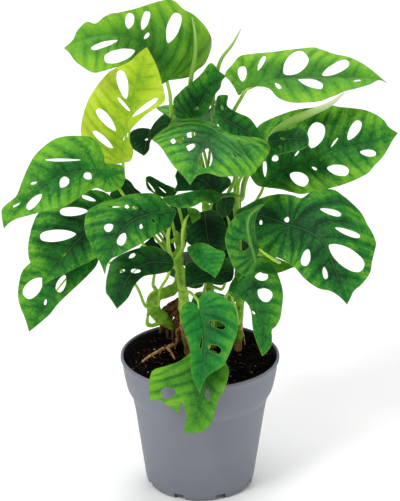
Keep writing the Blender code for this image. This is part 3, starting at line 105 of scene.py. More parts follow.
# Leaves. rib: base, bends and tip of the midrib, as seen from the front. face: the way the upper side
# looks, at the base and at the tip. fold: how far each half (left, right) rises from the midrib, degrees.
# curl: how far each half has turned CURL_REACH out, degrees. edge: the outline. holes: inner end, outer end
# and width. half_width: for a leaf at the back, which has the plain outline and its holes as shares of its
# length and half width.
# stalk: the petiole from the base down to its stem. thick: the petiole's radius in mm where it is stout.
LEAVES = {
    "leaf_crown_left": dict(
        rib=[(168, 81, 16), (150, 49, 2), (122, 35, -12), (90, 37, -24), (64, 48, -32)],
        face=[(5, 28), (-8, 40)], fold=(6, 4), curl=(-18, -24),
        edge=[(64, 48), (64, 48), (73, 40), (77, 31), (86, 22), (95, 24), (103, 18), (111, 14), (122, 12),
              (136, 8.5), (150, 4), (165, 0), (174, 1), (183, 9), (194, 15), (205, 26), (211, 38), (211, 50),
              (205, 63), (196, 71), (188, 77), (171, 80), (168, 81), (160, 85), (152, 83), (142, 77),
              (130, 70), (119, 67), (110, 69), (100, 72), (92, 72), (83, 67), (75, 61), (70, 54)],
        holes=[(168, 43, 178, 13, 13), (144, 39, 149, 33, 4), (142, 30, 148, 11, 8), (128, 29, 131, 13, 9.5),
               (118, 40, 91, 49, 6), (135, 51, 104, 60, 13)],
        on="stem_back", thick=1.5,
        stalk=[(170, 95, 16), (171, 110, 17), (172, 122, 22), (180, 136, 24), (191, 152, 22)]),
    "leaf_yellow": dict(
        rib=[(122, 163, -14), (126, 130, -22), (133, 100, -30), (139, 78, -36), (147, 47, -44)],
        face=[(-15, 15), (-5, 10)], fold=(4, 6), curl=(-20, -16),
        edge=[(147, 47), (147, 47), (140, 52), (130, 61), (118, 67), (109, 72), (100, 82), (91, 95),
              (85, 108), (82, 122), (82, 135), (86, 148), (94, 158), (104, 163), (113, 164), (122, 163),
              (130, 161), (133, 155), (133, 148), (130, 140), (131, 130), (138, 122), (148, 113), (159, 106),
              (164, 102), (165, 96), (163, 87), (160, 76), (155, 63)],
        holes=[(126, 99, 120, 70, 11), (131, 113, 118, 97, 3.5), (132, 117, 158, 98, 5.5),
               (116, 131, 97, 109, 9.5), (113, 148, 93, 131, 7), (123, 141, 128, 133, 3)],
        on="stem_left",
        stalk=[(124, 178, -10), (128, 192, -4), (140, 214, 6), (160, 236, 12), (177, 252, 14)]),
    "leaf_far_left": dict(
        rib=[(107, 172, -44), (72, 172, -52), (34, 191, -62), (4, 229, -70)],
        face=[(-5, 32), (-20, 30)], fold=(6, 6), curl=(-16, -20),
        edge=[(4, 229), (4, 229), (1.5, 211), (8, 203), (17, 195), (22, 182), (29, 166), (36, 154),
              (50, 142), (64, 137), (80, 136), (92, 138), (100, 146), (104, 156), (105, 163), (114, 164),
              (122, 166), (125, 175), (123, 185), (117, 190), (107, 192), (96, 188), (80, 197), (66, 206),
              (50, 210), (30, 215), (14, 220), (7, 225)],
        holes=[(81, 160, 45, 160, 3), (91, 179, 85, 173, 8), (61, 188, 67, 177, 9), (37, 182, 31, 184, 2.5),
               (42, 194, 27, 209, 8), (20, 203, 13, 207, 2)],
        on="stem_left",
        stalk=[(116, 184, -34), (128, 202, -22), (146, 226, -2), (163, 247, 6), (174, 264, 9)]),
    "leaf_left": dict(
        rib=[(112, 209, -36), (80, 238, -38), (56, 266, -42), (42, 285, -46)],
        face=[(-5, 25), (-5, 20)], fold=(5, 5), curl=(-14, -18),
        edge=[(42, 285), (42, 285), (41, 273), (33, 266), (29, 258), (28, 247), (30, 234), (33, 224),
              (37, 215), (46, 206), (62, 199), (80, 192), (96, 190), (108, 194), (113, 202), (110, 214),
              (102, 222), (100, 234), (102, 246), (97, 257), (80, 266), (68, 272), (58, 277), (50, 281)],
        holes=[(88, 211, 60, 212, 9), (76, 234, 40, 237, 12), (66, 253, 62, 256, 2.5),
               (96, 201, 82, 196, 4)],
        on="stem_left", stalk=[(124, 222, -22), (140, 240, -8), (154, 262, -4), (153, 284, -5)]),
    "leaf_front_left": dict(
        rib=[(171, 211, -52), (150, 214, -60), (130, 222, -68), (116, 240, -76), (105, 275, -84)],
        face=[(-5, 35), (-20, 30)], fold=(6, 4), curl=(-20, -26),
        edge=[(105, 275), (105, 275), (100, 262), (94, 254), (90, 243), (86, 234), (85, 222), (88, 211),
              (97, 205), (105, 201), (116, 199), (124, 196), (132, 194), (145, 193), (155, 194), (163, 199),
              (168, 206), (176, 210), (174, 218), (171, 226), (166, 230), (157, 234), (147, 240), (133, 248),
              (120, 255), (111, 259), (107, 265)],
        holes=[(113, 225, 105, 230, 8), (125, 233, 119, 245, 9), (141, 224, 141, 229, 3),
               (152, 218, 154, 223, 2.5), (129, 208, 125, 206, 3.5), (138, 208, 132, 208, 3.5),
               (121, 207, 107, 207, 1.6)],
        on="stem_front", thick=1.5,
        stalk=[(169, 226, -40), (168, 240, -30), (171, 256, -20), (177, 270, -12), (181, 282, -10)]),
    "leaf_low_left": dict(
        rib=[(90, 253, -18), (64, 281, -24), (44, 308, -29), (29, 332, -33)],
        face=[(-5, 25), (-5, 20)], fold=(5, 5), curl=(-12, -12),
        edge=[(29, 332), (29, 332), (25, 318), (20, 306), (18, 295), (19, 283), (22, 272), (29, 264),
              (42, 256), (58, 250), (75, 247), (90, 249), (97, 256), (98, 262), (93, 270), (80, 283),
              (68, 294), (57, 305), (50, 314), (40, 323)],
        holes=[(42, 278, 25, 297, 15), (46, 299, 45, 305, 2.5), (65, 275, 58, 292, 9)],
        on="stem_left", stalk=[(112, 264, -16), (135, 284, -10), (146, 297, -6), (151, 303, -4)]),
    "leaf_low_middle": dict(
        rib=[(171, 263, -34), (148, 263, -40), (128, 278, -46), (117, 309, -52)],
        face=[(-10, 35), (-10, 25)], fold=(5, 5), curl=(-16, -16),
        edge=[(117, 309), (117, 309), (110, 298), (106, 292), (106, 282), (108, 272), (111, 262), (120, 255),
              (135, 249), (150, 246), (163, 250), (171, 256), (174, 264), (170, 271), (158, 274), (145, 276),
              (138, 281), (133, 288), (128, 298)],
        holes=[(129, 258, 135, 254, 4), (125, 270, 120, 272, 3), (141, 271, 131, 271, 4.5)],
        on="stem_left", stalk=[(168, 276, -24), (160, 290, -12), (153, 302, -4)]),
    "leaf_centre": dict(
        rib=[(222, 131, -6), (208, 139, -30), (197, 160, -58), (190, 185, -76)],
        face=[(5, 62), (0, 35)], fold=(4, 4), curl=(-30, -34),
        edge=[(190, 185), (190, 185), (184, 177), (179, 172), (173, 165), (168, 158), (163, 150), (158, 144),
              (153, 140), (160, 132), (168, 126), (178, 121), (190, 119), (202, 120), (213, 124), (222, 129),
              (230, 134), (240, 136), (252, 137), (262, 139), (268, 144), (270, 150), (266, 158), (259, 167),
              (254, 173), (247, 177), (235, 176), (222, 177), (215, 175), (207, 173), (197, 176)],
        holes=[(176, 139, 171, 143, 5.5), (183, 137, 179, 143, 5), (196, 133, 187, 136, 6.5),
               (196, 144, 186, 150, 5.5), (208, 148, 204, 168, 13), (233, 152, 236, 158, 2)],
        on="stem_back", stalk=[(228, 140, 0), (226, 160, 8), (216, 180, 14), (206, 196, 16)]),
    "leaf_behind_crown": dict(
        rib=[(192, 119, 23), (202, 100, 15), (213, 84, 8), (226, 76, 3)],
        face=[(-15, 25), (-10, 20)], fold=(8, 8), curl=(-16, -12),
        edge=[(226, 76), (226, 76), (219, 71), (215, 66), (211, 63), (207, 66), (203, 72), (196, 79),
              (190, 84), (185, 87), (179, 93), (174, 99), (174, 108), (176, 117), (183, 119.5), (192, 119),
              (201, 117), (207, 112), (211, 104), (215, 95), (220, 88), (222, 81)],
        holes=[(194, 110, 198, 107, 3)],
        on="stem_back", stalk=[(193, 136, 18), (199, 152, 14), (203, 168, 13)]),
    "leaf_shaded_right": dict(
        rib=[(222, 118, 14), (240, 128, 15), (260, 142, 16), (277, 155, 15)],
        face=[(10, 40), (10, 40)], fold=(4, 4), curl=(-12, -16),
        edge=[(277, 155), (277, 155), (271, 147), (264, 138), (257, 128), (249, 118), (238, 113), (228, 107),
              (227, 102), (228, 97), (226, 95), (218, 96), (216, 104), (215, 114), (218, 124), (226, 133),
              (240, 140), (256, 147), (268, 153)],
        holes=[(221, 105, 223, 110, 3)],
        on="stem_right",
        stalk=[(226, 130, 16), (231, 148, 20), (234, 170, 22), (235, 194, 19), (236, 210, 14)]),
    "leaf_crown_right": dict(
        rib=[(246, 88, 22), (268, 80, 20), (300, 77, 16), (340, 77, 10), (372, 78, 6), (387, 83, 4)],
        face=[(5, 55), (5, 50)], fold=(6, 6), curl=(-14, -14),
        edge=[(387, 83), (387, 83), (380, 77), (373, 71), (362, 63), (348, 57), (333, 54), (320, 49),
              (312, 47), (298, 49), (280, 51), (262, 53), (245, 55), (238, 58), (232, 65), (225, 75),
              (229, 80), (234, 87), (239, 95), (246, 88), (258, 86), (266, 87), (271, 90), (276, 96),
              (283, 100), (292, 102), (305, 102), (320, 101), (330, 97), (343, 92), (357, 88), (370, 84),
              (379, 80)],
        holes=[(243, 82, 242, 66, 9), (258, 71, 265, 56, 5), (284, 74, 306, 54, 20), (322, 75, 349, 62, 11),
               (353, 81, 361, 80, 2), (275, 83, 281, 89, 4), (298, 79, 323, 87, 9)],
        on="stem_right", thick=1.5,
        stalk=[(243, 95, 22), (233, 112, 26), (222, 134, 24), (226, 152, 12), (235, 176, 7), (237, 187, 6)]),
    "leaf_right": dict(
        rib=[(263, 186, 26), (275, 175, 23), (290, 166, 20), (330, 152, 12), (370, 142, 6), (398, 133, 2)],
        face=[(8, 28), (8, 28)], fold=(6, 6), curl=(-12, -14),
        edge=[(398, 133), (398, 133), (389, 127), (384, 120), (375, 114), (365, 110), (352, 108), (340, 107),
              (330, 105), (318, 107), (305, 108.5), (292, 111), (280, 115), (270, 119), (262, 123),
              (257, 128), (252, 138), (249, 152), (248, 166), (251, 177), (257, 185), (263, 187), (280, 189),
              (290, 192), (302, 194), (312, 192), (331, 188), (345, 184), (357, 179), (368, 173), (374, 166),
              (382, 158), (388, 149), (392, 141)],
        holes=[(311, 148, 320, 123, 17), (348, 140, 360, 121, 10), (331, 147, 338, 138, 2),
               (360, 152, 376, 154, 7), (327, 168, 349, 172, 11), (312, 167, 317, 170, 2.5),
               (290, 174, 308, 183, 13), (272, 160, 278, 157, 6), (265, 177, 265, 161, 4),
               (295, 156, 299, 151, 2)],
        on="stem_right", stalk=[(261, 193, 28), (253, 206, 25), (245, 222, 18), (238, 238, 7)]),
    "leaf_small_right": dict(
        rib=[(271, 141, 8), (290, 139, -6), (309, 140, -14)],
        face=[(10, 30), (10, 30)], fold=(6, 6), curl=(-14, -14),
        edge=[(309, 140), (309, 140), (307, 133), (303, 129), (298, 126.5), (293, 128), (288, 130),
              (279, 131), (272, 134), (268, 139), (269, 148), (272, 155), (285, 153), (295, 151), (303, 149),
              (308, 145)],
        holes=[(280, 138, 285, 139, 1.8), (279, 146, 282, 148, 2)],
        on="stem_right",
        stalk=[(265, 147, 10), (256, 158, 9), (246, 170, 5), (239, 182, 0), (238, 196, -3), (238, 208, -1)]),
    "leaf_low_right": dict(
        rib=[(290, 225, -26), (310, 232, -34), (324, 244, -42), (336, 272, -54), (347, 305, -66)],
        face=[(8, 28), (5, 22)], fold=(4, 6), curl=(-14, -16),
        edge=[(347, 305), (347, 305), (351, 297), (354, 291), (362, 284), (370, 273), (372, 262), (375, 250),
              (376, 243), (373, 234), (367, 224), (362, 214), (353, 204), (342, 195), (334, 190), (322, 189),
              (311, 192), (302, 198), (292, 195), (280, 194), (268, 196), (255, 201), (245, 206), (237, 211),
              (238, 224), (247, 237), (257, 246), (266, 252), (276, 257), (283, 260), (295, 268), (303, 277),
              (311, 284), (320, 289), (330, 291), (337, 295), (343, 300)],
        holes=[(320, 209, 341, 215, 6), (335, 228, 360, 237, 6), (329, 245, 363, 269, 19),
               (324, 267, 326, 279, 5), (308, 249, 304, 266, 9), (288, 217, 286, 222, 5),
               (261, 220, 261, 225, 3)],
        on="stem_back", thick=1.5,
        stalk=[(284, 232, -18), (266, 246, -14), (248, 262, -18), (238, 276, -22), (226, 297, -18),
               (216, 306, -2)]),
    "leaf_hanging": dict(
        rib=[(259, 249, -44), (254, 240, -50), (252, 226, -54), (256, 212, -52), (265, 204, -46)],
        face=[(20, 20), (20, 20)], fold=(-8, 4), curl=(-20, -30),
        edge=[(265, 204), (265, 204), (258, 205), (251, 209), (243, 212), (236, 216), (230, 223), (227, 231),
              (225, 240), (227, 250), (230, 259), (234, 268), (240, 273), (247, 277), (252, 275), (255, 268),
              (256, 258), (260, 249), (257, 241), (255, 232), (255, 222), (258, 212)],
        holes=[(240, 240, 246, 250, 10)],
        on="stem_right",
        stalk=[(264, 253, -46), (271, 258, -44), (278, 262, -36), (279, 262, -27), (268, 256, -12),
               (250, 254, -1)]),
    "leaf_drooping": dict(
        rib=[(232, 290, -30), (247, 297, -40), (257, 311, -50), (263, 333, -56), (262, 356, -58)],
        face=[(10, 25), (10, 18)], fold=(6, 6), curl=(-16, -16),
        edge=[(262, 356), (262, 356), (258, 346), (254, 334), (252, 322), (251, 312), (247, 303), (240, 298),
              (231, 296), (229, 288), (234, 278), (240, 268), (250, 262), (260, 258), (270, 262), (276, 270),
              (281, 283), (283, 295), (282, 308), (280, 319), (276, 326), (272, 330), (272, 338), (271, 346),
              (266, 353)],
        holes=[(255, 277, 268, 276, 9), (258, 290, 271, 299, 13), (252, 311, 255, 314, 2)],
        on="stem_right", stalk=[(232, 298, -20), (236, 310, -8), (239, 320, -3)]),
    "leaf_front": dict(
        rib=[(199, 308, -52), (204, 326, -60), (205, 350, -70), (202, 374, -80), (200, 394, -88)],
        face=[(0, 30), (0, 15)], fold=(10, 10), curl=(-14, -14),
        edge=[(200, 394), (200, 394), (196, 385), (192, 375), (190, 362), (190, 352), (188, 342), (185, 333),
              (182, 325), (181, 315), (182, 307), (187, 302), (192, 302), (196, 305), (199, 309), (199, 302),
              (201, 296), (207, 292), (213, 291), (222, 296), (231, 302), (236, 311), (238, 322), (237, 333),
              (232, 348), (227, 359), (223, 366), (214, 371), (206, 378), (202, 386)],
        holes=[(209, 321, 225, 328, 7), (208, 346, 221, 352, 8), (202, 336, 200, 353, 2)],
        on="stem_front", stalk=[(198, 301, -47), (193, 295, -36), (188, 292, -24), (184, 298, -10)]),
    "leaf_over_rim": dict(
        rib=[(207, 350, -46), (206, 368, -62), (203, 392, -72), (190, 433, -74)],
        face=[(0, 35), (0, 5)], fold=(4, 4), curl=(-8, -8),
        edge=[(190, 433), (184, 431), (186, 422), (186, 412), (183, 405), (180, 402), (180, 409), (177, 412),
              (172, 408), (165, 404), (160, 400), (151, 400), (149, 390), (150, 377), (154, 370), (166, 366),
              (180, 361), (190, 354), (200, 348), (207, 350), (216, 352), (225, 362), (229, 370), (228, 378),
              (225, 388), (219, 399), (215, 411), (211, 423), (203, 431)],
        holes=[(176, 392, 161, 394, 12), (207, 385, 208, 401, 3.5)],
        on="stem_back", stalk=[(211, 342, -34), (213, 334, -14), (213, 328, 0)]),
    "leaf_shaded_centre": dict(
        rib=[(205, 214, -6), (206, 226, -10), (208, 240, -14), (212, 253, -18)],
        face=[(0, 20), (0, 20)], fold=(8, 8), curl=(-16, -16),
        edge=[(212, 256), (212, 256), (203, 252), (194, 247), (187, 242), (186, 231), (190, 221), (198, 213),
              (205, 211), (212, 210), (220, 215), (226, 226), (228, 238), (226, 248), (220, 254)],
        holes=[],
        on="stem_back", stalk=[(203, 222, 2), (204, 236, 8), (207, 254, 10)]),
    "leaf_centre_front": dict(
        rib=[(198, 244, -32), (201, 253, -36), (206, 264, -40), (215, 278, -44)],
        face=[(0, 25), (0, 20)], fold=(12, 12), curl=(-20, -20),
        edge=[(215, 278), (215, 278), (209, 273), (203, 270), (196, 264), (190, 256), (187, 248), (192, 245),
              (198, 243), (207, 244), (216, 249), (225, 253), (223, 262), (220, 270)],
        holes=[],
        on="stem_back", stalk=[(197, 252, -24), (200, 266, -10), (206, 280, 4), (209, 292, 8)]),
    "leaf_low_centre": dict(
        rib=[(222, 272, -20), (208, 274, -24), (196, 278, -28), (186, 286, -30)],
        face=[(0, 30), (0, 30)], fold=(8, 8), curl=(-16, -16),
        edge=[(186, 287), (186, 287), (185, 276), (186, 263), (192, 262), (202, 264), (214, 264), (222, 259),
              (231, 261), (234, 270), (231, 281), (218, 283), (205, 283), (196, 285)],
        holes=[],
        on="stem_back", stalk=[(226, 279, -12), (222, 289, 0)]),
    "leaf_upper_left_small": dict(
        rib=[(149, 132, 17), (146, 142, 13), (144, 156, 8)],
        face=[(-10, 15), (-10, 15)], fold=(8, 8), curl=(-18, -18),
        edge=[(144, 156), (144, 156), (136, 151), (131, 147), (129, 139), (130, 133), (136, 129), (144, 128),
              (152, 130), (153, 136), (150, 143), (149, 150)],
        holes=[(145, 140, 148, 139, 2)],
        on="stem_back",
        stalk=[(154, 127, 21), (162, 122, 25), (172, 130, 30), (184, 148, 31), (194, 166, 28)]),
    "leaf_left_lobe": dict(
        rib=[(171, 124, 14), (162, 124, 13), (155, 130, 11), (150, 139, 8)],
        face=[(-10, 35), (-20, 30)], fold=(5, 5), curl=(-16, -16),
        edge=[(150, 140), (150, 140), (150, 132), (153, 125), (158, 119), (164, 114), (168, 116), (172, 120),
              (174, 127), (166, 132), (158, 138)],
        holes=[],
        on="stem_back", stalk=[(174, 134, 13), (182, 152, 12), (193, 172, 12), (201, 186, 15)]),
    "leaf_folded_left": dict(
        rib=[(170, 192, -4), (160, 187, -8), (146, 178, -14)],
        face=[(0, 50), (0, 50)], fold=(10, 10), curl=(-20, -20),
        edge=[(146, 177), (146, 177), (150, 176), (156, 179), (165, 184), (174, 188), (177, 192), (172, 197),
              (163, 197), (155, 194), (148, 189), (146, 183)],
        holes=[(147.5, 181.5, 155, 192, 2), (158.5, 186.5, 166, 193, 1.8)],
        on="stem_left", stalk=[(176, 200, 2), (181, 216, 14), (185, 236, 22)]),
    "leaf_dark_left": dict(
        rib=[(137, 193, -12), (131, 189, -16), (125, 179, -22)],
        face=[(0, 30), (0, 30)], fold=(8, 8), curl=(-16, -16),
        edge=[(125, 178), (125, 178), (131, 182), (135, 188), (141, 193), (140, 199), (132, 202), (122, 202),
              (113, 200), (110, 194), (116, 189), (121, 184)],
        holes=[],
        on="stem_left", stalk=[(146, 202, -4), (158, 222, 6), (172, 240, 13)]),
    "leaf_edge_on": dict(
        rib=[(166, 200, -26), (190, 196, -32), (215, 194, -34), (242, 196, -32)],
        face=[(0, 70), (0, 70)], fold=(10, 10), curl=(-24, -24),
        edge=[(242, 196), (242, 196), (231, 193), (220, 193), (212, 190), (203, 190), (190, 192), (175, 195),
              (163, 198), (168, 204), (180, 208), (194, 206), (203, 201), (210, 203), (216, 202),
              (223, 197)],
        holes=[],
        on="stem_left", stalk=[(169, 206, -18), (171, 218, -6), (174, 230, 6)]),
    "leaf_under_centre": dict(
        rib=[(214, 196, -2), (210, 187, -6), (200, 179, -10), (176, 176, -14)],
        face=[(0, 35), (0, 30)], fold=(6, 6), curl=(-14, -14),
        edge=[(175, 176), (175, 176), (178, 168), (182, 158), (190, 160), (198, 167), (208, 171), (220, 173),
              (229, 178), (231, 184), (225, 190), (216, 196), (204, 195), (194, 191), (183, 191), (174, 191),
              (177, 184)],
        holes=[],
        on="stem_back", stalk=[(212, 202, 4), (209, 212, 9)]),
    "leaf_small_centre": dict(
        rib=[(226, 214, -8), (225, 207, -12), (228, 195, -16)],
        face=[(0, 25), (0, 25)], fold=(10, 10), curl=(-16, -16),
        edge=[(230, 193), (230, 193), (222, 198), (216, 205), (218, 213), (223, 217), (229, 214), (234, 206),
              (235, 198)],
        holes=[],
        on="stem_right", stalk=[(229, 222, -2), (235, 232, 4)]),
    "leaf_budding": dict(
        rib=[(191, 212, -14), (195, 214, -16), (201, 217, -20)],
        face=[(0, 30), (0, 30)], fold=(16, 16), curl=(-16, -16),
        edge=[(201, 217), (201, 217), (199, 211), (194, 208), (188, 208), (188, 213), (191, 219), (192, 223),
              (196, 221)],
        holes=[],
        on="stem_front", thick=1.7,
        stalk=[(186, 219, -12), (183, 232, -10), (182, 250, -8), (182, 262, -8)]),
    "leaf_tip_right": dict(
        rib=[(261, 264, -10), (278, 265, -14), (294, 267, -18)],
        face=[(5, 30), (5, 30)], fold=(6, 6), curl=(-14, -14),
        edge=[(294, 267), (294, 267), (286, 262), (276, 258), (266, 256), (258, 259), (256, 267), (262, 273),
              (271, 274), (281, 272)],
        holes=[],
        on="stem_right", stalk=[(254, 267, -6), (246, 272, -1)]),
    "leaf_inner_left": dict(
        rib=[(186, 226, 27), (170, 236, 27), (155, 247, 25), (137, 262, 21)],
        face=[(-5, 20), (-5, 20)], fold=(5, 5), curl=(-10, -10),
        edge=[(137, 262), (137, 262), (137, 254), (141, 246), (150, 238), (152, 226), (150, 212), (156, 202),
              (166, 198), (178, 200), (188, 208), (192, 220), (188, 236), (184, 250), (176, 262), (164, 266),
              (150, 265)],
        holes=[(159, 232, 159, 243, 9), (175, 237, 177, 250, 4)],
        on="stem_back", stalk=[(193, 229, 23), (200, 233, 18)]),
    "leaf_inner_right": dict(
        rib=[(213, 258, 26), (217, 240, 30), (224, 215, 33), (232, 193, 34)],
        face=[(0, 20), (0, 20)], fold=(5, 5), curl=(-10, -10),
        edge=[(232, 192), (232, 192), (235, 204), (238, 216), (240, 226), (238, 240), (231, 254), (221, 260),
              (213, 258), (205, 255), (200, 242), (200, 224), (206, 209), (218, 199)],
        holes=[],
        on="stem_back", stalk=[(211, 266, 20)]),
    "leaf_back_upper": dict(
        rib=[(199, 124, 40), (191, 107, 64), (182, 107, 89), (174, 122, 110)],
        face=[(195, 68), (203, 48)], fold=(6, 6), curl=(-16, -16), half_width=24,
        holes=[(0.2, 0.34, 0.3, 0.74, 5), (0.43, 0.3, 0.55, 0.66, 5), (0.66, 0.22, 0.76, 0.44, 3.5),
               (0.18, -0.34, 0.28, -0.74, 5), (0.42, -0.3, 0.54, -0.66, 5)],
        on="stem_back", stalk=[(201, 140, 34), (206, 160, 34), (210, 184, 29)]),
    "leaf_back_right": dict(
        rib=[(239, 160, 39), (248, 142, 64), (257, 140, 89), (263, 153, 111)],
        face=[(160, 66), (152, 46)], fold=(6, 6), curl=(-16, -14), half_width=25,
        holes=[(0.2, 0.32, 0.31, 0.76, 6), (0.46, 0.3, 0.56, 0.62, 4), (0.68, 0.22, 0.78, 0.42, 3.5),
               (0.24, -0.32, 0.36, -0.74, 5), (0.5, -0.28, 0.62, -0.6, 5)],
        on="stem_right", stalk=[(237, 180, 27), (234, 202, 25), (236, 222, 15)]),
    "leaf_back_low_right": dict(
        rib=[(244, 262, 24), (256, 241, 48), (268, 235, 74), (275, 244, 97)],
        face=[(155, 68), (165, 46)], fold=(6, 6), curl=(-14, -18), half_width=26,
        holes=[(0.18, 0.34, 0.28, 0.72, 5), (0.4, 0.28, 0.53, 0.7, 7), (0.22, -0.34, 0.32, -0.76, 5),
               (0.46, -0.3, 0.56, -0.6, 4), (0.68, -0.22, 0.78, -0.42, 3.5)],
        on="stem_right", stalk=[(241, 268, 14)]),
    "leaf_back_middle": dict(
        rib=[(206, 282, 22), (192, 260, 48), (178, 253, 75), (169, 262, 98)],
        face=[(200, 68), (192, 44)], fold=(6, 6), curl=(-18, -14), half_width=27,
        holes=[(0.18, 0.32, 0.3, 0.76, 7), (0.44, 0.28, 0.56, 0.62, 5), (0.2, -0.34, 0.3, -0.74, 5),
               (0.42, -0.28, 0.55, -0.68, 6), (0.68, -0.2, 0.78, -0.42, 3.5)],
        on="stem_back", stalk=[(208, 287, 15)]),
    "leaf_back_low": dict(
        rib=[(212, 322, 24), (218, 302, 48), (225, 295, 71), (230, 300, 89)],
        face=[(167, 70), (160, 52)], fold=(6, 6), curl=(-14, -14), half_width=20,
        holes=[(0.26, 0.32, 0.38, 0.72, 5), (0.24, -0.32, 0.35, -0.7, 4.5)],
        on="stem_back", stalk=[(213, 327, 18)]),
}

# Half of a plain heart-shaped outline, from tip to notch: share of the length, share of the half width
PLAIN_EDGE = [(1.0, 0.0), (0.94, 0.12), (0.84, 0.4), (0.68, 0.76), (0.48, 0.98), (0.28, 1.0), (0.1, 0.84),
              (-0.05, 0.54), (-0.07, 0.24), (0.0, 0.04)]

# Stems, from the soil up: across, down, depth and radius in millimetres
STEMS = {
    "stem_back": [(212, 347, 20, 3.0), (213, 326, 14, 2.9), (213, 308, 8, 2.8), (210, 290, 9, 2.8),
                  (208, 262, 11, 2.7), (207, 235, 13, 2.7), (206, 210, 15, 2.6), (203, 185, 17, 2.6),
                  (199, 166, 19, 2.4), (195, 152, 20, 2.2)],
    "stem_right": [(238, 349, 15, 2.9), (239, 325, 5, 2.8), (240, 310, -3, 2.8), (239, 290, -1, 2.7),
                   (238, 265, 2, 2.7), (238, 240, 5, 2.6), (238, 215, 6, 2.5), (238, 194, 6, 2.3)],
    "stem_front": [(189, 353, 8, 3.1), (186, 325, -2, 3.5), (184, 304, -8, 4.4), (183, 291, -8, 4.2),
                   (181, 279, -8, 3.4), (182, 266, -8, 2.5)],
    "stem_left": [(186, 342, 27, 2.8), (178, 330, 14, 2.8), (166, 321, 2, 2.8), (156, 313, -2, 3.4),
                  (152, 302, -3, 5.0), (158, 295, -1, 4.5), (168, 292, 4, 4.4), (177, 285, 10, 3.4),
                  (180, 270, 14, 2.7), (179, 250, 15, 2.6), (177, 232, 14, 2.3)],
}

# An old leaf sheath hanging from the left stem's knuckle: across, down, depth and radius
SHEATH = [(153, 305, -4, 1.6), (149, 311, -5, 1.2), (147.5, 318, -6, 1.0), (147.5, 324, -6, 1.6),
          (152, 325.5, -5, 1.5), (159, 323.5, -4, 1.2), (167, 323, 1, 1.2)]

# A dried root lying on the soil: main strand and side strand, x and y
ROOT = [(-43, -9), (-38.5, -0.5), (-34, 6), (-28.3, 14), (-22.4, 18.6), (-18.5, 26), (-17, 32)]
ROOT_BRANCH = [(-25.5, 16.5), (-22, 8), (-19, -4)]

# New leaves still rolled up: from the tip down, radius at the middle
FURLED = {
    "furled_left": dict(
        on="stem_back", radius=1.7,
        path=[(192, 17, 20), (195, 35, 16), (195, 55, 14), (191, 78, 18), (190, 92, 28), (192, 110, 30),
              (196, 132, 29), (201, 156, 27), (205, 174, 24)]),
    "furled_middle": dict(
        on="stem_back", radius=1.5,
        path=[(241, 29, 20), (232, 45, 18), (222, 58, 17), (217, 72, 18), (214, 90, 21), (212, 115, 22),
              (211, 140, 23), (209, 168, 23)]),
    "furled_right": dict(
        on="stem_right", radius=3.0,
        path=[(344, 93, -8), (330, 104, -10), (310, 113, -8), (290, 122, 2), (277, 131, 14), (268, 141, 22),
              (258, 153, 24), (250, 168, 21), (244, 184, 16), (241, 198, 12)]),
}

# Dry roots at the feet of the stems, across, down and depth from the top down, and their radius
STRANDS = [
    ([(183, 318, -9), (181, 326, -10), (183, 336, -6), (187, 347, 2)], 1.0),
    ([(185, 322, -10), (188, 331, -11), (187, 340, -7), (190, 350, 0)], 0.8),
    ([(180, 326, -6), (176, 333, -4), (178, 340, 4), (176, 346, 12)], 0.6),
    ([(187, 318, -9), (192, 331, -10), (191, 342, -4), (195, 351, 2)], 0.7),
    ([(214, 327, 10), (211, 336, 8), (207, 346, 10)], 0.6),
    ([(239, 322, -4), (243, 333, -4), (245, 345, 4)], 0.55),
]

# Old brown sheaths wrapped round the foot of the left stem, given the same way
HUSKS = [
    ([(184, 300, 2), (176, 305, 3), (168, 312, 5), (163, 321, 8), (161, 332, 14)], 2.3),
    ([(185, 304, 3), (178, 309, 2), (171, 316, 4), (168, 325, 8), (168, 337, 14)], 2.5),
    ([(186, 308, 3), (180, 314, 1), (175, 322, 3), (173, 332, 9), (174, 342, 14)], 2.3),
    ([(180, 299, 6), (172, 303, 8), (165, 308, 9), (159, 317, 12)], 1.8),
    ([(186, 314, 4), (182, 321, 2), (179, 329, 4), (179, 340, 10)], 2.0),
    ([(170, 307, 4), (164, 311, 3), (158, 314, 5)], 1.5),
]

# How each leaf is coloured, and how light it is from 0 to 1; the rest are mid green
# The deep tone and the low lightness values are painted shade on the leaves inside the plant and behind
# others.
TONES = {
    "leaf_yellow": ("yellow", 0.55), "leaf_crown_left": ("light", 0.65), "leaf_crown_right": ("light", 0.5),
    "leaf_over_rim": ("light", 0.25), "leaf_tip_right": ("light", 0.6), "leaf_budding": ("light", 0.4),
    "leaf_edge_on": ("mid", 0.55), "leaf_hanging": ("mid", 0.5), "leaf_right": ("mid", 0.85),
    "leaf_far_left": ("mid", 0.95), "leaf_left": ("mid", 0.45), "leaf_front_left": ("mid", 0.45),
    "leaf_centre": ("mid", 0.68), "leaf_low_right": ("mid", 0.4), "leaf_front": ("fresh", 0.5),
    "leaf_drooping": ("mid", 0.5), "leaf_low_left": ("mid", 0.62), "leaf_behind_crown": ("mid", 0.4),
    "leaf_shaded_right": ("mid", 0.3), "leaf_centre_front": ("fresh", 0.6),
    "leaf_small_right": ("deep", 0.8), "leaf_upper_left_small": ("deep", 0.5),
    "leaf_left_lobe": ("deep", 0.6), "leaf_dark_left": ("deep", 0.5), "leaf_folded_left": ("deep", 0.7),
    "leaf_under_centre": ("deep", 0.4), "leaf_shaded_centre": ("deep", 0.3),
    "leaf_low_centre": ("deep", 0.6), "leaf_small_centre": ("deep", 0.4), "leaf_inner_left": ("deep", 0.2),
    "leaf_inner_right": ("deep", 0.2), "leaf_low_middle": ("deep", 0.7), "leaf_back_middle": ("deep", 0.5),
}

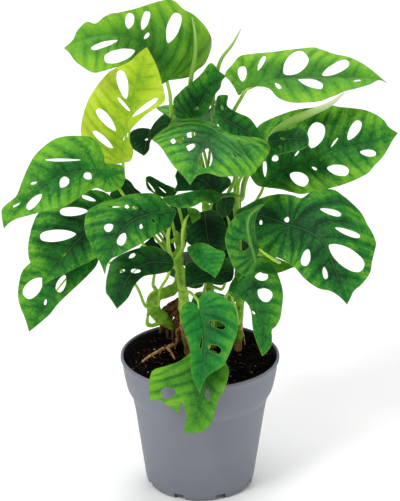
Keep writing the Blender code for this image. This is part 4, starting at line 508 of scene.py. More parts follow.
# Soft folds across a blade, across and down in the front view
FOLDS = {
    "leaf_centre": [(175, 127.5), (184, 125), (196, 124), (206, 126.5), (216, 131), (226, 136), (238, 140.5),
                    (250, 143.5), (261, 147)],
    "leaf_hanging": [(260, 207), (252, 213), (247.5, 222), (248.5, 236), (252, 250), (255, 262)],
}

# Each tone of leaf, as screen colours: creases, ground, puffs, margin, midrib; then how strong its pattern is
# The crease and puff colours are the ends of painted shade and painted highlights; deep is painted shade.
GREENS = {
    "deep": ((3, 32, 13), (12, 68, 24), (48, 122, 34), (104, 140, 48), (112, 164, 70), 1.0),
    "mid": ((6, 56, 22), (34, 114, 34), (112, 178, 42), (104, 140, 48), (112, 164, 70), 1.0),
    "fresh": ((4, 70, 28), (26, 122, 40), (96, 174, 46), (104, 140, 48), (112, 164, 70), 0.8),
    "light": ((30, 92, 28), (82, 150, 36), (142, 192, 46), (104, 140, 48), (112, 164, 70), 0.65),
    "yellow": ((112, 160, 24), (166, 200, 34), (206, 222, 74), (150, 180, 60), (196, 214, 96), 0.8),
}

# How light each stem is, from 0 to 1
STEM_LIGHT = {"stem_back": 0.4, "stem_right": 0.4, "stem_front": 0.85, "stem_left": 0.5}


# Shapes

def seen(across, down, depth):
    """The point seen at (across, down) in the front view, depth mm behind the pot's middle."""
    ray = AHEAD * VIEW_STEPS + ACROSS * (across - VIEW_MIDDLE[0]) - UPWARD * (down - VIEW_MIDDLE[1])
    return EYE + ray * ((depth - EYE[1]) / ray[1])


def in_mm(spots):
    """Where spots given as across, down and depth lie, in millimetres."""
    return [seen(*spot) for spot in spots]


def front_view(points):
    """Where points are seen from the front, as (across, down) pairs."""
    d = points - EYE
    far = d @ AHEAD
    across = VIEW_MIDDLE[0] + VIEW_STEPS * (d @ ACROSS) / far
    down = VIEW_MIDDLE[1] - VIEW_STEPS * (d @ UPWARD) / far
    return np.stack([across, down], -1)


def facing(turn, lift):
    """Unit vector: turn 0 faces the viewer and grows to the right, lift 90 is straight up."""
    turn, lift = math.radians(turn), math.radians(lift)
    return np.array([math.sin(turn) * math.cos(lift), -math.cos(turn) * math.cos(lift), math.sin(lift)])


def rise_between(x, low, high):
    """0 below low, 1 above high, and a soft step between."""
    k = np.clip((x - low) / (high - low), 0, 1)
    return k * k * (3 - 2 * k)


def smooth(points, steps, closed=False):
    """A soft line through the points. A point given twice stays a sharp corner."""
    p = np.array(points, float)
    if closed:
        p = np.vstack([p[-1], p, p[0], p[1]])
    else:
        p = np.vstack([2 * p[0] - p[1], p, 2 * p[-1] - p[-2]])
    out = []
    for i in range(1, len(p) - 2):
        if np.allclose(p[i], p[i + 1]):
            continue
        for t in np.arange(steps) / steps:
            out.append(0.5 * (2 * p[i] + (p[i + 1] - p[i - 1]) * t
                              + (2 * p[i - 1] - 5 * p[i] + 4 * p[i + 1] - p[i + 2]) * t * t
                              + (3 * p[i] - 3 * p[i + 1] + p[i + 2] - p[i - 1]) * t ** 3))
    if not closed:
        out.append(p[-2])
    return np.array(out)


def travelled(line):
    """How far along a line each of its points is."""
    return np.r_[0, np.cumsum(np.linalg.norm(np.diff(line, axis=0), axis=1))]


def evened(line, count):
    """A line given anew by count evenly spaced points."""
    reach = travelled(line)
    even = np.linspace(0, reach[-1], count)
    return np.stack([np.interp(even, reach, line[:, k]) for k in range(3)], -1)


def spaced(points, step):
    """Points spread evenly, about step apart, along a soft line through the given ones."""
    line = smooth(points, 8)
    return evened(line, max(4, int(travelled(line)[-1] / step)))


def bend(leaf, flat):
    """Where points of the flat blade (mm along the midrib, mm to its right) lie on the bent blade."""
    flat = np.asarray(flat, float)
    line, length = leaf["line"], leaf["length"]
    t = np.gradient(line, axis=0)
    t /= np.linalg.norm(t, axis=1)[:, None]
    s = flat[:, 0] / length
    k = np.clip(s, 0, 1)
    at = np.linspace(0, 1, RIB_POINTS)
    middle = np.stack([np.interp(k, at, line[:, j]) for j in range(3)], -1)
    t = np.stack([np.interp(k, at, t[:, j]) for j in range(3)], -1)
    t /= np.linalg.norm(t, axis=1)[:, None]
    middle = middle + t * ((s - k) * length)[:, None]
    look = facing(*leaf["face"][0]) * (1 - k)[:, None] + facing(*leaf["face"][1]) * k[:, None]
    side = np.cross(t, look)
    side /= np.linalg.norm(side, axis=1)[:, None]
    up = np.cross(side, t)
    right = flat[:, 1] >= 0
    start = np.radians(np.where(right, leaf["fold"][1], leaf["fold"][0]))
    turn = np.radians(np.where(right, leaf["curl"][1], leaf["curl"][0])) / CURL_REACH + 1e-6
    far = np.abs(flat[:, 1])
    over = (np.sin(start + turn * far) - np.sin(start)) / turn
    rise = (np.cos(start) - np.cos(start + turn * far)) / turn
    wave = np.sin(flat[:, 0] / WAVE_RUN + np.where(right, 0.4, 2.2))
    rise += WAVE_HEIGHT * (far / WAVE_REACH) ** 2 * wave
    return middle + side * (np.sign(flat[:, 1]) * over)[:, None] + up * rise[:, None]


def upper_side(leaf, flat):
    """Unit vectors standing out of the blade's upper side."""
    flat, step = np.asarray(flat, float), 0.4
    along = bend(leaf, flat + (step, 0)) - bend(leaf, flat - (step, 0))
    aside = bend(leaf, flat + (0, step)) - bend(leaf, flat - (0, step))
    out = np.cross(aside, along)
    return out / np.linalg.norm(out, axis=1)[:, None]


def flatten(leaf, spots):
    """The flat-blade points of spots picked in the front view: the nearest on a grid, then refined."""
    spots, step = np.asarray(spots, float), 0.1
    along = np.linspace(-0.45, 1.1, 63) * leaf["length"]
    aside = np.linspace(-75, 75, 76)
    grid = np.stack(np.meshgrid(along, aside, indexing="ij"), -1).reshape(-1, 2)
    view = front_view(bend(leaf, grid))
    flat = grid[np.argmin(((spots[:, None] - view[None]) ** 2).sum(-1), 1)]
    for _ in range(6):
        here = front_view(bend(leaf, flat))
        da = (front_view(bend(leaf, flat + (step, 0))) - here) / step
        db = (front_view(bend(leaf, flat + (0, step))) - here) / step
        miss = spots - here
        det = da[:, 0] * db[:, 1] - da[:, 1] * db[:, 0]
        det = np.where(np.abs(det) < 0.05, 0.05 * np.sign(det + 1e-9), det)
        move = np.stack([miss[:, 0] * db[:, 1] - miss[:, 1] * db[:, 0],
                         da[:, 0] * miss[:, 1] - da[:, 1] * miss[:, 0]], -1) / det[:, None]
        flat += np.clip(move, -4, 4)
    return flat


def slit(x0, y0, x1, y1, width, points):
    """A hole from its inner end, which is narrow, to its outer end, which is round."""
    turn = np.arange(points) / points * 2 * math.pi
    run = 0.5 - 0.5 * np.cos(turn)
    bulge = np.sign(np.sin(turn)) * np.abs(np.sin(turn)) ** (1.3 - 0.5 * run)
    aside = 0.5 * width * bulge * (0.78 + 0.4 * run)
    dx, dy = x1 - x0, y1 - y0
    size = math.hypot(dx, dy)
    return np.stack([x0 + dx * run - dy / size * aside, y0 + dy * run + dx / size * aside], -1)


def outlines(leaf):
    """A leaf's edge and its holes on the flat blade."""
    if "half_width" not in leaf:
        edge = flatten(leaf, smooth(leaf["edge"], EDGE_STEPS, closed=True))
        return edge, [flatten(leaf, slit(*hole, HOLE_POINTS)) for hole in leaf["holes"]]
    length, width = leaf["length"], leaf["half_width"]
    loop = PLAIN_EDGE + [(along, -aside) for along, aside in reversed(PLAIN_EDGE)]
    holes = []
    for a0, b0, a1, b1, size in leaf["holes"]:
        holes.append(slit(a0 * length, b0 * width, a1 * length, b1 * width, size, HOLE_POINTS))
    return smooth(np.array(loop) * (length, width), EDGE_STEPS, closed=True), holes


def inside(loop, spots):
    """Which spots lie inside a closed loop."""
    result = np.zeros(len(spots), bool)
    for (x0, y0), (x1, y1) in zip(loop, np.roll(loop, -1, 0)):
        crosses = (y0 > spots[:, 1]) != (y1 > spots[:, 1])
        at = x0 + (x1 - x0) * (spots[:, 1] - y0) / (y1 - y0 + 1e-12)
        result ^= crosses & (spots[:, 0] < at)
    return result


def away_from(line, spots, closed=True):
    """How far spots are from the nearest part of a line or loop."""
    least = np.full(len(spots), np.inf)
    for p, q in zip(line, np.roll(line, -1, 0) if closed else line[1:]):
        k = np.clip(((spots - p) @ (q - p)) / ((q - p) @ (q - p) + 1e-12), 0, 1)
        least = np.minimum(least, np.linalg.norm(spots - p - k[:, None] * (q - p), axis=1))
    return least


# Side veins and relief of a blade

def vein_lead(far):
    """How far towards the tip a side vein has run when it is far mm out from the midrib."""
    return 0.42 * far + 0.006 * far ** 2


def vein_start(flat):
    """Where along the midrib the side vein through each point leaves it."""
    return flat[:, 0] - vein_lead(np.abs(flat[:, 1]))


def hole_starts(leaf, side, spacing):
    """Where the puffs that hold one side's holes start along the midrib, close ones taken as one."""
    merged = []
    for start in sorted(float(vein_start(np.array([spot]))[0]) for spot, size in leaf["gaps"]
                        if spot[1] * side > 0 and size > 3):
        if merged and start - merged[-1] < 0.6 * spacing:
            merged[-1] = (merged[-1] + start) / 2
        else:
            merged.append(start)
    return merged or [spacing * 0.5]


def vein_count(leaf, flat):
    """A number for each point that is whole on a side vein and half way on the puff between two veins."""
    spacing = min(VEIN_SPACING, leaf["length"] / 7)
    beyond = 20
    fan_angle = math.radians(26)
    count = np.zeros(len(flat))
    start = vein_start(flat)
    for side in (-1, 1):
        here = np.sign(flat[:, 1] + 1e-9) == side
        puffs = hole_starts(leaf, side, spacing)
        values = [0.5]
        for low, high in zip(puffs, puffs[1:]):
            values.append(values[-1] + max(1, round((high - low) / spacing)))
        knots = [puffs[0] - beyond * spacing, *puffs, puffs[-1] + beyond * spacing]
        values = [values[0] - beyond, *values, values[-1] + beyond]
        count[here] = np.interp(start[here], knots, values)
        behind = here & (start < 0)
        far = np.abs(flat[behind, 1]) + 1e-6
        swing = np.arctan2(far, flat[behind, 0]) - np.arctan2(far, vein_lead(far))
        count[behind] = np.interp(0, knots, values) - swing / fan_angle
    return count


def fullness(leaf):
    """How strong the relief of a leaf is: 1 for a full-grown one, less for a small one."""
    return min(1.0, leaf["length"] / 80)


def groove(leaf, along):
    """How deep the midrib lies in the upper side."""
    return 0.55 * fullness(leaf) * rise_between(leaf["length"] - along, 0, 20)


def uneven(flat, run, seed):
    """Soft noise over the flat blade, with lumps about run mm wide."""
    return np.array([noise.noise(Vector((a / run, b / run, seed))) for a, b in flat])


def relief(leaf, flat, rim, vein, fold):
    """How far the upper side stands up: puffs between the side veins, grooves along the veins."""
    far = np.abs(flat[:, 1])
    seed = leaf["seed"]
    puff = rise_between(far, 0.5, 13) * rise_between(rim, 0.2, 6) * (np.sin(vein * math.pi / 2) ** 0.8 - 0.35)
    lift = 0.8 * puff + 0.5 * uneven(flat, 9, seed) + 0.26 * uneven(flat, 3.4, seed + 4)
    lift += 0.9 * np.exp(-rim / 4) * uneven(flat, 13, seed + 9)
    lift *= fullness(leaf)
    lift -= 0.12 * np.exp(-((rim - 3.2) / 0.8) ** 2)
    lift += 0.9 * np.exp(-(fold / 1.8) ** 2)
    return lift * rise_between(far, 0.2, 4) - groove(leaf, flat[:, 0]) * np.exp(-(flat[:, 1] / 1.5) ** 2)


# Pieces

def new_piece(name, mesh, replaced):
    """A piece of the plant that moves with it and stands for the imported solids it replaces."""
    obj = bpy.data.objects.new(name, mesh)
    bpy.context.scene.collection.objects.link(obj)
    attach(obj, "root")
    if replaced:
        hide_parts(*replaced)
    return obj


def add_marks(mesh, marks):
    """Keep numbers or vectors on a mesh's points for its finish."""
    for key, values in marks.items():
        kind, field = ("FLOAT", "value") if np.ndim(values) == 1 else ("FLOAT_VECTOR", "vector")
        mesh.attributes.new(key, kind, "POINT").data.foreach_set(field, np.ravel(values).astype(float))


def mesh_from(name, points, faces, marks, finishes, finish_of=None):
    """A mesh from points in millimetres, with marks on its points for the finishes."""
    mesh = bpy.data.meshes.new(name)
    mesh.from_pydata((np.asarray(points) * MM).tolist(), [], faces)
    add_marks(mesh, marks)
    for finish in finishes:
        mesh.materials.append(finish)
    if finish_of is not None:
        mesh.polygons.foreach_set("material_index", finish_of)
    mesh.update()
    mesh.shade_smooth()
    return mesh


def settle(obj):
    """Apply every modifier."""
    graph = bpy.context.evaluated_depsgraph_get()
    mesh = bpy.data.meshes.new_from_object(obj.evaluated_get(graph))
    obj.modifiers.clear()
    obj.data = mesh


def level_ring(out, height, steps):
    """A level ring of points round the pot's middle line."""
    turn = np.arange(steps) / steps * 2 * math.pi
    return np.column_stack([out * np.cos(turn), out * np.sin(turn), np.full(steps, float(height))])


def band(a, b, steps):
    """Faces between two rings of points, one numbered from a and the other from b."""
    return [(a + j, b + j, b + (j + 1) % steps, a + (j + 1) % steps) for j in range(steps)]


def fan(middle, a, steps):
    """Faces between a middle point and the ring of points round it, numbered from a."""
    return [(middle, a + j, a + (j + 1) % steps) for j in range(steps)]


def inside_out(faces):
    """The same faces, looking the other way."""
    return [(face[0], *reversed(face[1:])) for face in faces]


def sweep(path, radii, sides, section=None):
    """Points, faces and marks of a closed rod along a path. section(share, turn) scales its radius."""
    path = np.asarray(path, float)
    t = np.gradient(path, axis=0)
    t /= np.linalg.norm(t, axis=1)[:, None]
    side = np.cross(t[0], (0.3, 0.2, 1.0))
    side /= np.linalg.norm(side)
    turn = np.arange(sides) / sides * 2 * math.pi
    points, faces, share = [], [], np.linspace(0, 1, len(path))
    for i, (p, ahead) in enumerate(zip(path, t)):
        side = side - ahead * (side @ ahead)
        side /= np.linalg.norm(side)
        other = np.cross(ahead, side)
        grown = radii[i] * (section(share[i], turn) if section else np.ones(sides))
        points.append(p + np.outer(np.cos(turn) * grown, side) + np.outer(np.sin(turn) * grown, other))
    for i in range(len(path) - 1):
        faces += inside_out(band(i * sides, (i + 1) * sides, sides))
    points += [path[0] - t[0] * radii[0] * 0.5, path[-1] + t[-1] * radii[-1] * 0.5]
    points = np.vstack(points)
    last = len(points) - 1
    faces += inside_out(fan(last - 1, 0, sides)) + fan(last, last - 1 - sides, sides)
    return points, faces, {"along": np.r_[np.repeat(share, sides), 0, 1], "spot": points / MM_IN_CM}


def joined(parts):
    """Several (points, faces, marks) as one."""
    points, faces, marks, count = [], [], {}, 0
    for part_points, part_faces, part_marks in parts:
        points.append(part_points)
        faces += [tuple(i + count for i in face) for face in part_faces]
        count += len(part_points)
        for key, values in part_marks.items():
            marks.setdefault(key, []).append(values)
    return np.vstack(points), faces, {key: np.concatenate(values) for key, values in marks.items()}


# Finishes

class Wire:
    """A number, colour or vector on its way through a finish."""

    def __init__(self, finish, socket):
        self.finish = finish
        self.socket = socket

    def _maths(self, operation, a, b):
        """Two numbers, or wires that carry them, joined by one operation."""
        return self.finish.node("ShaderNodeMath", {"operation": operation}, {0: a, 1: b})

    def __add__(self, other):
        return self._maths("ADD", self, other)

    def __radd__(self, other):
        return self._maths("ADD", other, self)

    def __sub__(self, other):
        return self._maths("SUBTRACT", self, other)

    def __rsub__(self, other):
        return self._maths("SUBTRACT", other, self)

    def __mul__(self, other):
        return self._maths("MULTIPLY", self, other)

    def __rmul__(self, other):
        return self._maths("MULTIPLY", other, self)

    def between(self, low, high):
        """0 below low, 1 above high, and a soft step between."""
        return self.finish.node("ShaderNodeMapRange", {"interpolation_type": "SMOOTHSTEP"},
                                {"Value": self, "From Min": low, "From Max": high})


class Finish:
    """A material being made."""

    def __init__(self, name):
        self.material = bpy.data.materials.new(name)
        self.material.use_nodes = True
        self.tree = self.material.node_tree
        self.shader = self.tree.nodes["Principled BSDF"]

    def give(self, socket, value):
        """Feed a socket with a wire or set it to a constant."""
        if isinstance(value, Wire):
            self.tree.links.new(value.socket, socket)
        else:
            socket.default_value = value

    def node(self, kind, settings, sockets, out=0):
        """A new node with its settings and what its sockets get, as the wire from one of its outputs."""
        item = self.tree.nodes.new(kind)
        for key, value in settings.items():
            setattr(item, key, value)
        for key, value in sockets.items():
            self.give(item.inputs[key], value)
        return Wire(self, item.outputs[out])

    def mark(self, name):
        """A number kept on the mesh."""
        return self.node("ShaderNodeAttribute", {"attribute_name": name}, {}, "Fac")

    def place(self):
        """The place kept on the mesh, in centimetres."""
        return self.node("ShaderNodeAttribute", {"attribute_name": "spot"}, {}, "Vector")

    def cloud(self, place, scale, detail=2.0, rough=0.5):
        """Soft noise from 0 to 1."""
        return self.node("ShaderNodeTexNoise", {}, {"Vector": place, "Scale": scale, "Detail": detail,
                                                    "Roughness": rough})

    def net(self, place, scale):
        """Distance from the lines of an uneven net."""
        return self.node("ShaderNodeTexVoronoi", {"feature": "DISTANCE_TO_EDGE"},
                         {"Vector": place, "Scale": scale})

    def mix(self, share, a, b):
        """Colour a turning into colour b."""
        a = (*a, 1.0) if isinstance(a, tuple) else a
        b = (*b, 1.0) if isinstance(b, tuple) else b
        return self.node("ShaderNodeMix", {"data_type": "RGBA"}, {0: share, 6: a, 7: b}, 2)

    def ramp(self, value, stops):
        """A colour picked by a value from stops, each a place from 0 to 1 and a colour."""
        colour = self.node("ShaderNodeValToRGB", {}, {"Fac": value})
        elements = colour.socket.node.color_ramp.elements
        while len(elements) < len(stops):
            elements.new(0.5)
        for element, (place, stop) in zip(elements, stops):
            element.position = place
            element.color = (*stop, 1.0)
        return colour

    def finish(self, colour, roughness, height=None, depth_mm=0.1, strength=1.0, specular=0.5):
        """The finished material, with fine relief depth_mm deep where a height is given."""
        self.give(self.shader.inputs["Base Color"], colour)
        self.give(self.shader.inputs["Roughness"], roughness)
        self.give(self.shader.inputs["Specular IOR Level"], specular)
        if height is not None:
            bump = self.node("ShaderNodeBump", {}, {"Height": height, "Distance": depth_mm * MM,
                                                    "Strength": strength})
            self.give(self.shader.inputs["Normal"], bump)
        return self.material


def rgb(red, green, blue):
    """A screen colour as the light values that a material takes."""
    shares = [c / 255 for c in (red, green, blue)]
    return tuple(c / 12.92 if c <= 0.04 else ((c + 0.055) / 1.055) ** 2.4 for c in shares)


def leaf_upper(name, deep, middle, bright, rim_colour, rib_colour, contrast):
    """Waxy upper side: painted shade in the vein creases and midrib groove, painted highlights on the puffs
    between, paler towards the margin.
    """
    f = Finish(name)
    spot, own, fold = f.place(), f.mark("own"), f.mark("fold")
    mid, rim, along, edge = f.mark("mid"), f.mark("rim"), f.mark("along"), f.mark("edge")
    blotch = f.cloud(spot, 0.65, 2.0)
    fleck = f.cloud(spot, 3.6, 4.0, 0.62)
    net = f.net(spot, 3.4)
    count = f.mark("count") + 0.34 * (f.cloud(spot, 1.1, 3.0) - 0.5)
    vein = 2.0 * f.node("ShaderNodeMath", {"operation": "PINGPONG"}, {0: count, 1: 0.5})
    ribbing = f.node("ShaderNodeMath", {"operation": "COSINE"}, {0: count * (FINE_RIBS * 2 * math.pi)})
    puff = vein.between(0.05, 0.8)
    outward = mid.between(1.5, 20.0)
    margin = 1.0 - rim.between(0.5, 16.0)
    # Painted shade in the creases along the side veins; the same mask also sinks them as grooves in the bump.
    crease_shade_and_groove = (1.0 - vein.between(0.0, 0.22)) * rim.between(0.5, 5.0) * mid.between(1.0, 2.5)
    # Painted shade down the midrib's groove.
    rib = (1.0 - mid.between(0.4, 2.2)) * (1.0 - along.between(0.85, 1.0))
    tone = 0.12 + 0.12 * outward + 0.24 * margin + 0.08 * along.between(0.1, 1.0)
    # Painted highlight: the puffs between the side veins are made lighter, more so away from the midrib.
    tone = tone + puff * (0.06 + 0.16 * outward)
    marks = 0.8 * (blotch - 0.5) + 0.7 * (fleck - 0.5) + 0.04 * ribbing * outward
    marks = marks - 0.15 * crease_shade_and_groove - 0.16 * rib - 0.1 * (1.0 - net.between(0.0, 0.1))
    # own is the leaf's lightness, which also paints shade onto the leaves inside the plant.
    tone = tone + contrast * marks + 0.5 * (own - 0.5)
    colour = f.ramp(tone, [(0.02, deep), (0.42, middle), (0.95, bright)])
    rib_line = (1.0 - mid.between(0.15, 0.5)) * (1.0 - along.between(0.6, 0.95))
    colour = f.mix(rib_line * 0.2, colour, rib_colour)
    colour = f.mix((1.0 - fold.between(0.3, 1.5)) * 0.7, colour, rib_colour)
    colour = f.mix((1.0 - edge.between(0.1, 0.5)) * 0.6, colour, rim_colour)
    height = net.between(0.0, 0.16) * 0.4 + f.cloud(spot, 9.0, 4.0, 0.6) * 0.4 - crease_shade_and_groove
    return f.finish(colour, 0.42 + 0.18 * fleck, height, 0.22, 0.8, 0.14)


def leaf_lower(name, flesh, vein_colour):
    """Matt, paler underside with raised veins."""
    f = Finish(name)
    spot, vein, mid = f.place(), f.mark("vein"), f.mark("mid")
    net = f.net(spot, 3.4)
    lines = (1.0 - vein.between(0.0, 0.14)) * 0.6 + (1.0 - net.between(0.0, 0.08)) * 0.25
    shade = tuple(c * 0.72 for c in flesh)
    colour = f.mix(f.cloud(spot, 0.8, 3.0), shade, flesh)
    colour = f.mix(lines, colour, vein_colour)
    colour = f.mix((1.0 - mid.between(0.8, 2.0)) * 0.7, colour, vein_colour)
    return f.finish(colour, 0.55, 1.0 - net.between(0.0, 0.16), 0.12, 0.6, 0.3)


def leaf_finishes():
    """The upper and the lower finish of each tone of leaf."""
    finishes = {}
    for tone, (deep, middle, bright, rim, rib, contrast) in GREENS.items():
        upper = leaf_upper("leaf_upper_" + tone, rgb(*deep), rgb(*middle), rgb(*bright), rgb(*rim), rgb(*rib),
                           contrast)
        flesh = tuple(0.45 * m + 0.55 * b for m, b in zip(rgb(*middle), rgb(128, 172, 88)))
        finishes[tone] = [upper, leaf_lower("leaf_lower_" + tone, flesh, rgb(166, 196, 112))]
    return finishes


def petiole_skin():
    """Smooth green stalk, darker at the foot, with fine lengthwise streaks."""
    f = Finish("petiole_skin")
    streak = f.cloud(f.place(), 6.0, 3.0, 0.6)
    darker = f.mark("along").between(0.2, 1.0) * 0.4 + 0.9 * (streak - 0.35)
    colour = f.mix(darker, rgb(170, 214, 70), rgb(110, 168, 42))
    return f.finish(colour, 0.45, streak, 0.1, 0.5, 0.25)


def stem_skin():
    """Climbing stem: tan and papery in the soil, green above, with paler rings."""
    f = Finish("stem_skin")
    spot, height, ring = f.place(), f.mark("height"), f.mark("ring")
    cloud = f.cloud(spot, 2.2, 4.0, 0.6)
    streak = f.cloud(spot, 9.0, 3.0, 0.6)
    green = f.ramp(cloud + 0.4 * (streak - 0.5) + 0.6 * (f.mark("own") - 0.5),
                   [(0.2, rgb(66, 120, 26)), (0.5, rgb(122, 178, 40)), (0.8, rgb(182, 218, 84))])
    tan = f.ramp(streak + 0.3 * (cloud - 0.5),
                 [(0.3, rgb(92, 62, 34)), (0.55, rgb(158, 118, 70)), (0.8, rgb(196, 160, 104))])
    colour = f.mix((height + 0.5 * (cloud - 0.5)).between(0.3, 0.7), tan, green)
    colour = f.mix(ring * 0.55, colour, rgb(96, 92, 44))
    return f.finish(colour, 0.5, streak + cloud, 0.25, 0.6, 0.25)


def scroll_skin(name, pale, green, tip):
    """Smooth, pale skin of a rolled leaf, with its tip in a colour of its own."""
    f = Finish(name)
    streak = f.cloud(f.place(), 5.0, 3.0, 0.6)
    colour = f.mix(0.25 + 0.9 * (streak - 0.4), rgb(*pale), rgb(*green))
    colour = f.mix(1.0 - f.mark("along").between(0.03, 0.24), colour, rgb(*tip))
    return f.finish(colour, 0.4, streak, 0.12, 0.5)


def grainy(name, grain, stops, roughness, depth_mm, strength, specular):
    """A dry, rough finish whose colour and relief follow one grain: its scale, detail and roughness."""
    f = Finish(name)
    streak = f.cloud(f.place(), *grain)
    colour = f.ramp(streak, [(place, rgb(*colour)) for place, colour in stops])
    return f.finish(colour, roughness, streak, depth_mm, strength, specular)


def peat():
    """Nearly black soil in clumps, with finer brown grain."""
    f = Finish("peat")
    spot = f.place()
    clump = f.cloud(spot, 2.4, 5.0, 0.65)
    grain = f.cloud(spot, 14.0, 4.0, 0.7)
    colour = f.ramp(clump * 0.6 + grain * 0.4, [(0.42, rgb(3, 2, 2)), (0.56, rgb(8, 6, 5)),
                                                (0.70, rgb(28, 18, 12))])
    return f.finish(colour, 0.95, clump + grain, 0.9, 0.9, 0.05)


def pot_plastic():
    """Grey-blue moulded plastic: fine grain, faint flow marks, darker in patches near the foot and soil marks
    inside.
    """
    f = Finish("pot_plastic")
    spot = f.place()
    flow = f.cloud(spot, 0.5, 3.0, 0.5)
    grain = f.cloud(spot, 60.0, 2.0, 0.5)
    colour = f.mix(0.5 + 1.2 * (flow - 0.5), rgb(112, 116, 126), rgb(120, 124, 134))
    # Darker, greyer patches towards the foot of the pot.
    colour = f.mix(f.mark("low") * f.cloud(spot, 4.0, 4.0, 0.6) * 0.35, colour, rgb(98, 95, 92))
    soiled = (f.mark("soiled") + 0.5 * (f.cloud(spot, 2.5, 4.0, 0.7) - 0.5)).between(0.2, 0.5)
    colour = f.mix(soiled, colour, rgb(20, 15, 12))
    rough = 0.44 + 0.14 * flow + 0.3 * soiled
    return f.finish(colour, rough, grain * 0.5 + flow * 0.5, 0.05, 0.5, 0.45)


def floor_paint():
    """Plain pale floor, very faintly clouded."""
    f = Finish("floor_paint")
    place = f.node("ShaderNodeTexCoord", {}, {}, "Object")
    return f.finish(f.mix(f.cloud(place, 2.0, 2.0, 0.5), rgb(246, 246, 246), rgb(250, 250, 250)), 0.7)


# The plant

def tiled(edge, holes):
    """Points and faces of even triangles over a flat blade with holes."""
    low, high = edge.min(0), edge.max(0)
    row_gap = MESH_SIZE * 0.87
    rows = np.arange(math.floor(low[1] / row_gap), math.ceil(high[1] / row_gap) + 1)
    grid = np.array([(a + (MESH_SIZE / 2 if row % 2 else 0), row * row_gap)
                     for row in rows for a in np.arange(low[0], high[0], MESH_SIZE)])
    keep = inside(edge, grid) & (away_from(edge, grid) > EDGE_GAP)
    for hole in holes:
        keep &= ~inside(hole, grid) & (away_from(hole, grid) > HOLE_GAP)
    points = [Vector(p) for p in grid[keep]]
    sides = []
    for loop in [edge] + holes:
        start = len(points)
        points += [Vector(p) for p in loop]
        sides += [(start + i, start + (i + 1) % len(loop)) for i in range(len(loop))]
    flat, _, faces, *_ = delaunay_2d_cdt(points, sides, [], 0, 0.005)
    flat = np.array([tuple(p) for p in flat])
    centres = np.array([flat[list(face)].mean(0) for face in faces])
    keep = inside(edge, centres)
    for hole in holes:
        keep &= ~inside(hole, centres)
    faces = [tuple(reversed(face)) for face, wanted in zip(faces, keep) if wanted]
    used = np.unique([i for face in faces for i in face])
    number = np.full(len(flat), -1)
    number[used] = np.arange(len(used))
    return flat[used], [tuple(int(number[i]) for i in face) for face in faces]


def thickened(name, sheet):
    """A blade's sheet made solid, with its second finish on the underside."""
    obj = bpy.data.objects.new(name, sheet)
    bpy.context.scene.collection.objects.link(obj)
    shell = obj.modifiers.new("Thickness", "SOLIDIFY")
    shell.thickness = BLADE_THICKNESS * MM
    shell.offset = 0.0
    shell.material_offset = 1
    shell.material_offset_rim = 0
    settle(obj)
    mesh = obj.data
    mesh.name = name
    bpy.data.objects.remove(obj, do_unlink=True)
    mesh.set_sharp_from_angle(angle=math.radians(50))
    return mesh


def make_blade(name, leaf, finishes):
    """The fine blade: outline, holes, puffs between the veins, and its marks for the finishes."""
    edge, holes = outlines(leaf)
    leaf["gaps"] = [(hole.mean(0), float(np.ptp(hole, axis=0).max())) for hole in holes]
    flat, faces = tiled(edge, holes)
    count = vein_count(leaf, flat)
    vein = np.abs(count - np.round(count)) * 2
    rim = away_from(edge, flat)
    fold = np.full(len(flat), FAR_OFF)
    if name in FOLDS:
        fold = away_from(flatten(leaf, smooth(FOLDS[name], 4)), flat, closed=False)
    place = bend(leaf, flat) + upper_side(leaf, flat) * relief(leaf, flat, rim, vein, fold)[:, None]
    marks = {"spot": np.column_stack([flat / MM_IN_CM, np.full(len(flat), leaf["seed"] * PATTERN_SHIFT)]),
             "along": np.clip(flat[:, 0] / leaf["length"], 0, 1), "mid": np.abs(flat[:, 1]), "rim": rim,
             "edge": np.minimum.reduce([rim] + [away_from(hole, flat) for hole in holes]),
             "vein": vein, "count": count, "fold": fold, "own": np.full(len(flat), leaf["own"])}
    return thickened(name, mesh_from(name, place, faces, marks, finishes))


def foot_on(stem, point):
    """The place on a stem's middle line nearest to a point, the stem's radius there, and its direction."""
    line, radii = stem
    nearest, found = math.inf, None
    for a, b, radius in zip(line, line[1:], radii):
        k = np.clip(((point - a) @ (b - a)) / ((b - a) @ (b - a)), 0, 1)
        spot = a + k * (b - a)
        gap = np.linalg.norm(spot - point)
        if gap < nearest:
            nearest, found = gap, (spot, radius, (b - a) / np.linalg.norm(b - a))
    return found


def stalk_path(stem, path, radius):
    """A petiole's path, turned in at its foot to grow square out of its stem."""
    spot, size, along = foot_on(stem, path[-1])
    out = path[-1] - spot
    out -= along * (out @ along)
    out /= np.linalg.norm(out)
    knee = spot + out * (size + 2.2 * radius + 1.5)
    keep = [p for p in path if np.linalg.norm(p - spot) > size + 3 * radius + 2.5]
    return np.array([*keep, knee, spot + out * size * 0.6])


def raised_rib(leaf):
    """The midrib that stands out under a blade, from near its tip to its base, and its radii."""
    steps = 46
    at = np.column_stack([np.linspace(0.93, 0.0, steps) * leaf["length"], np.zeros(steps)])
    thick = np.linspace(0.22, 1.0, steps) * min(1.1, leaf["length"] / 70)
    return bend(leaf, at) - upper_side(leaf, at) * (groove(leaf, at[:, 0]) + thick)[:, None], thick


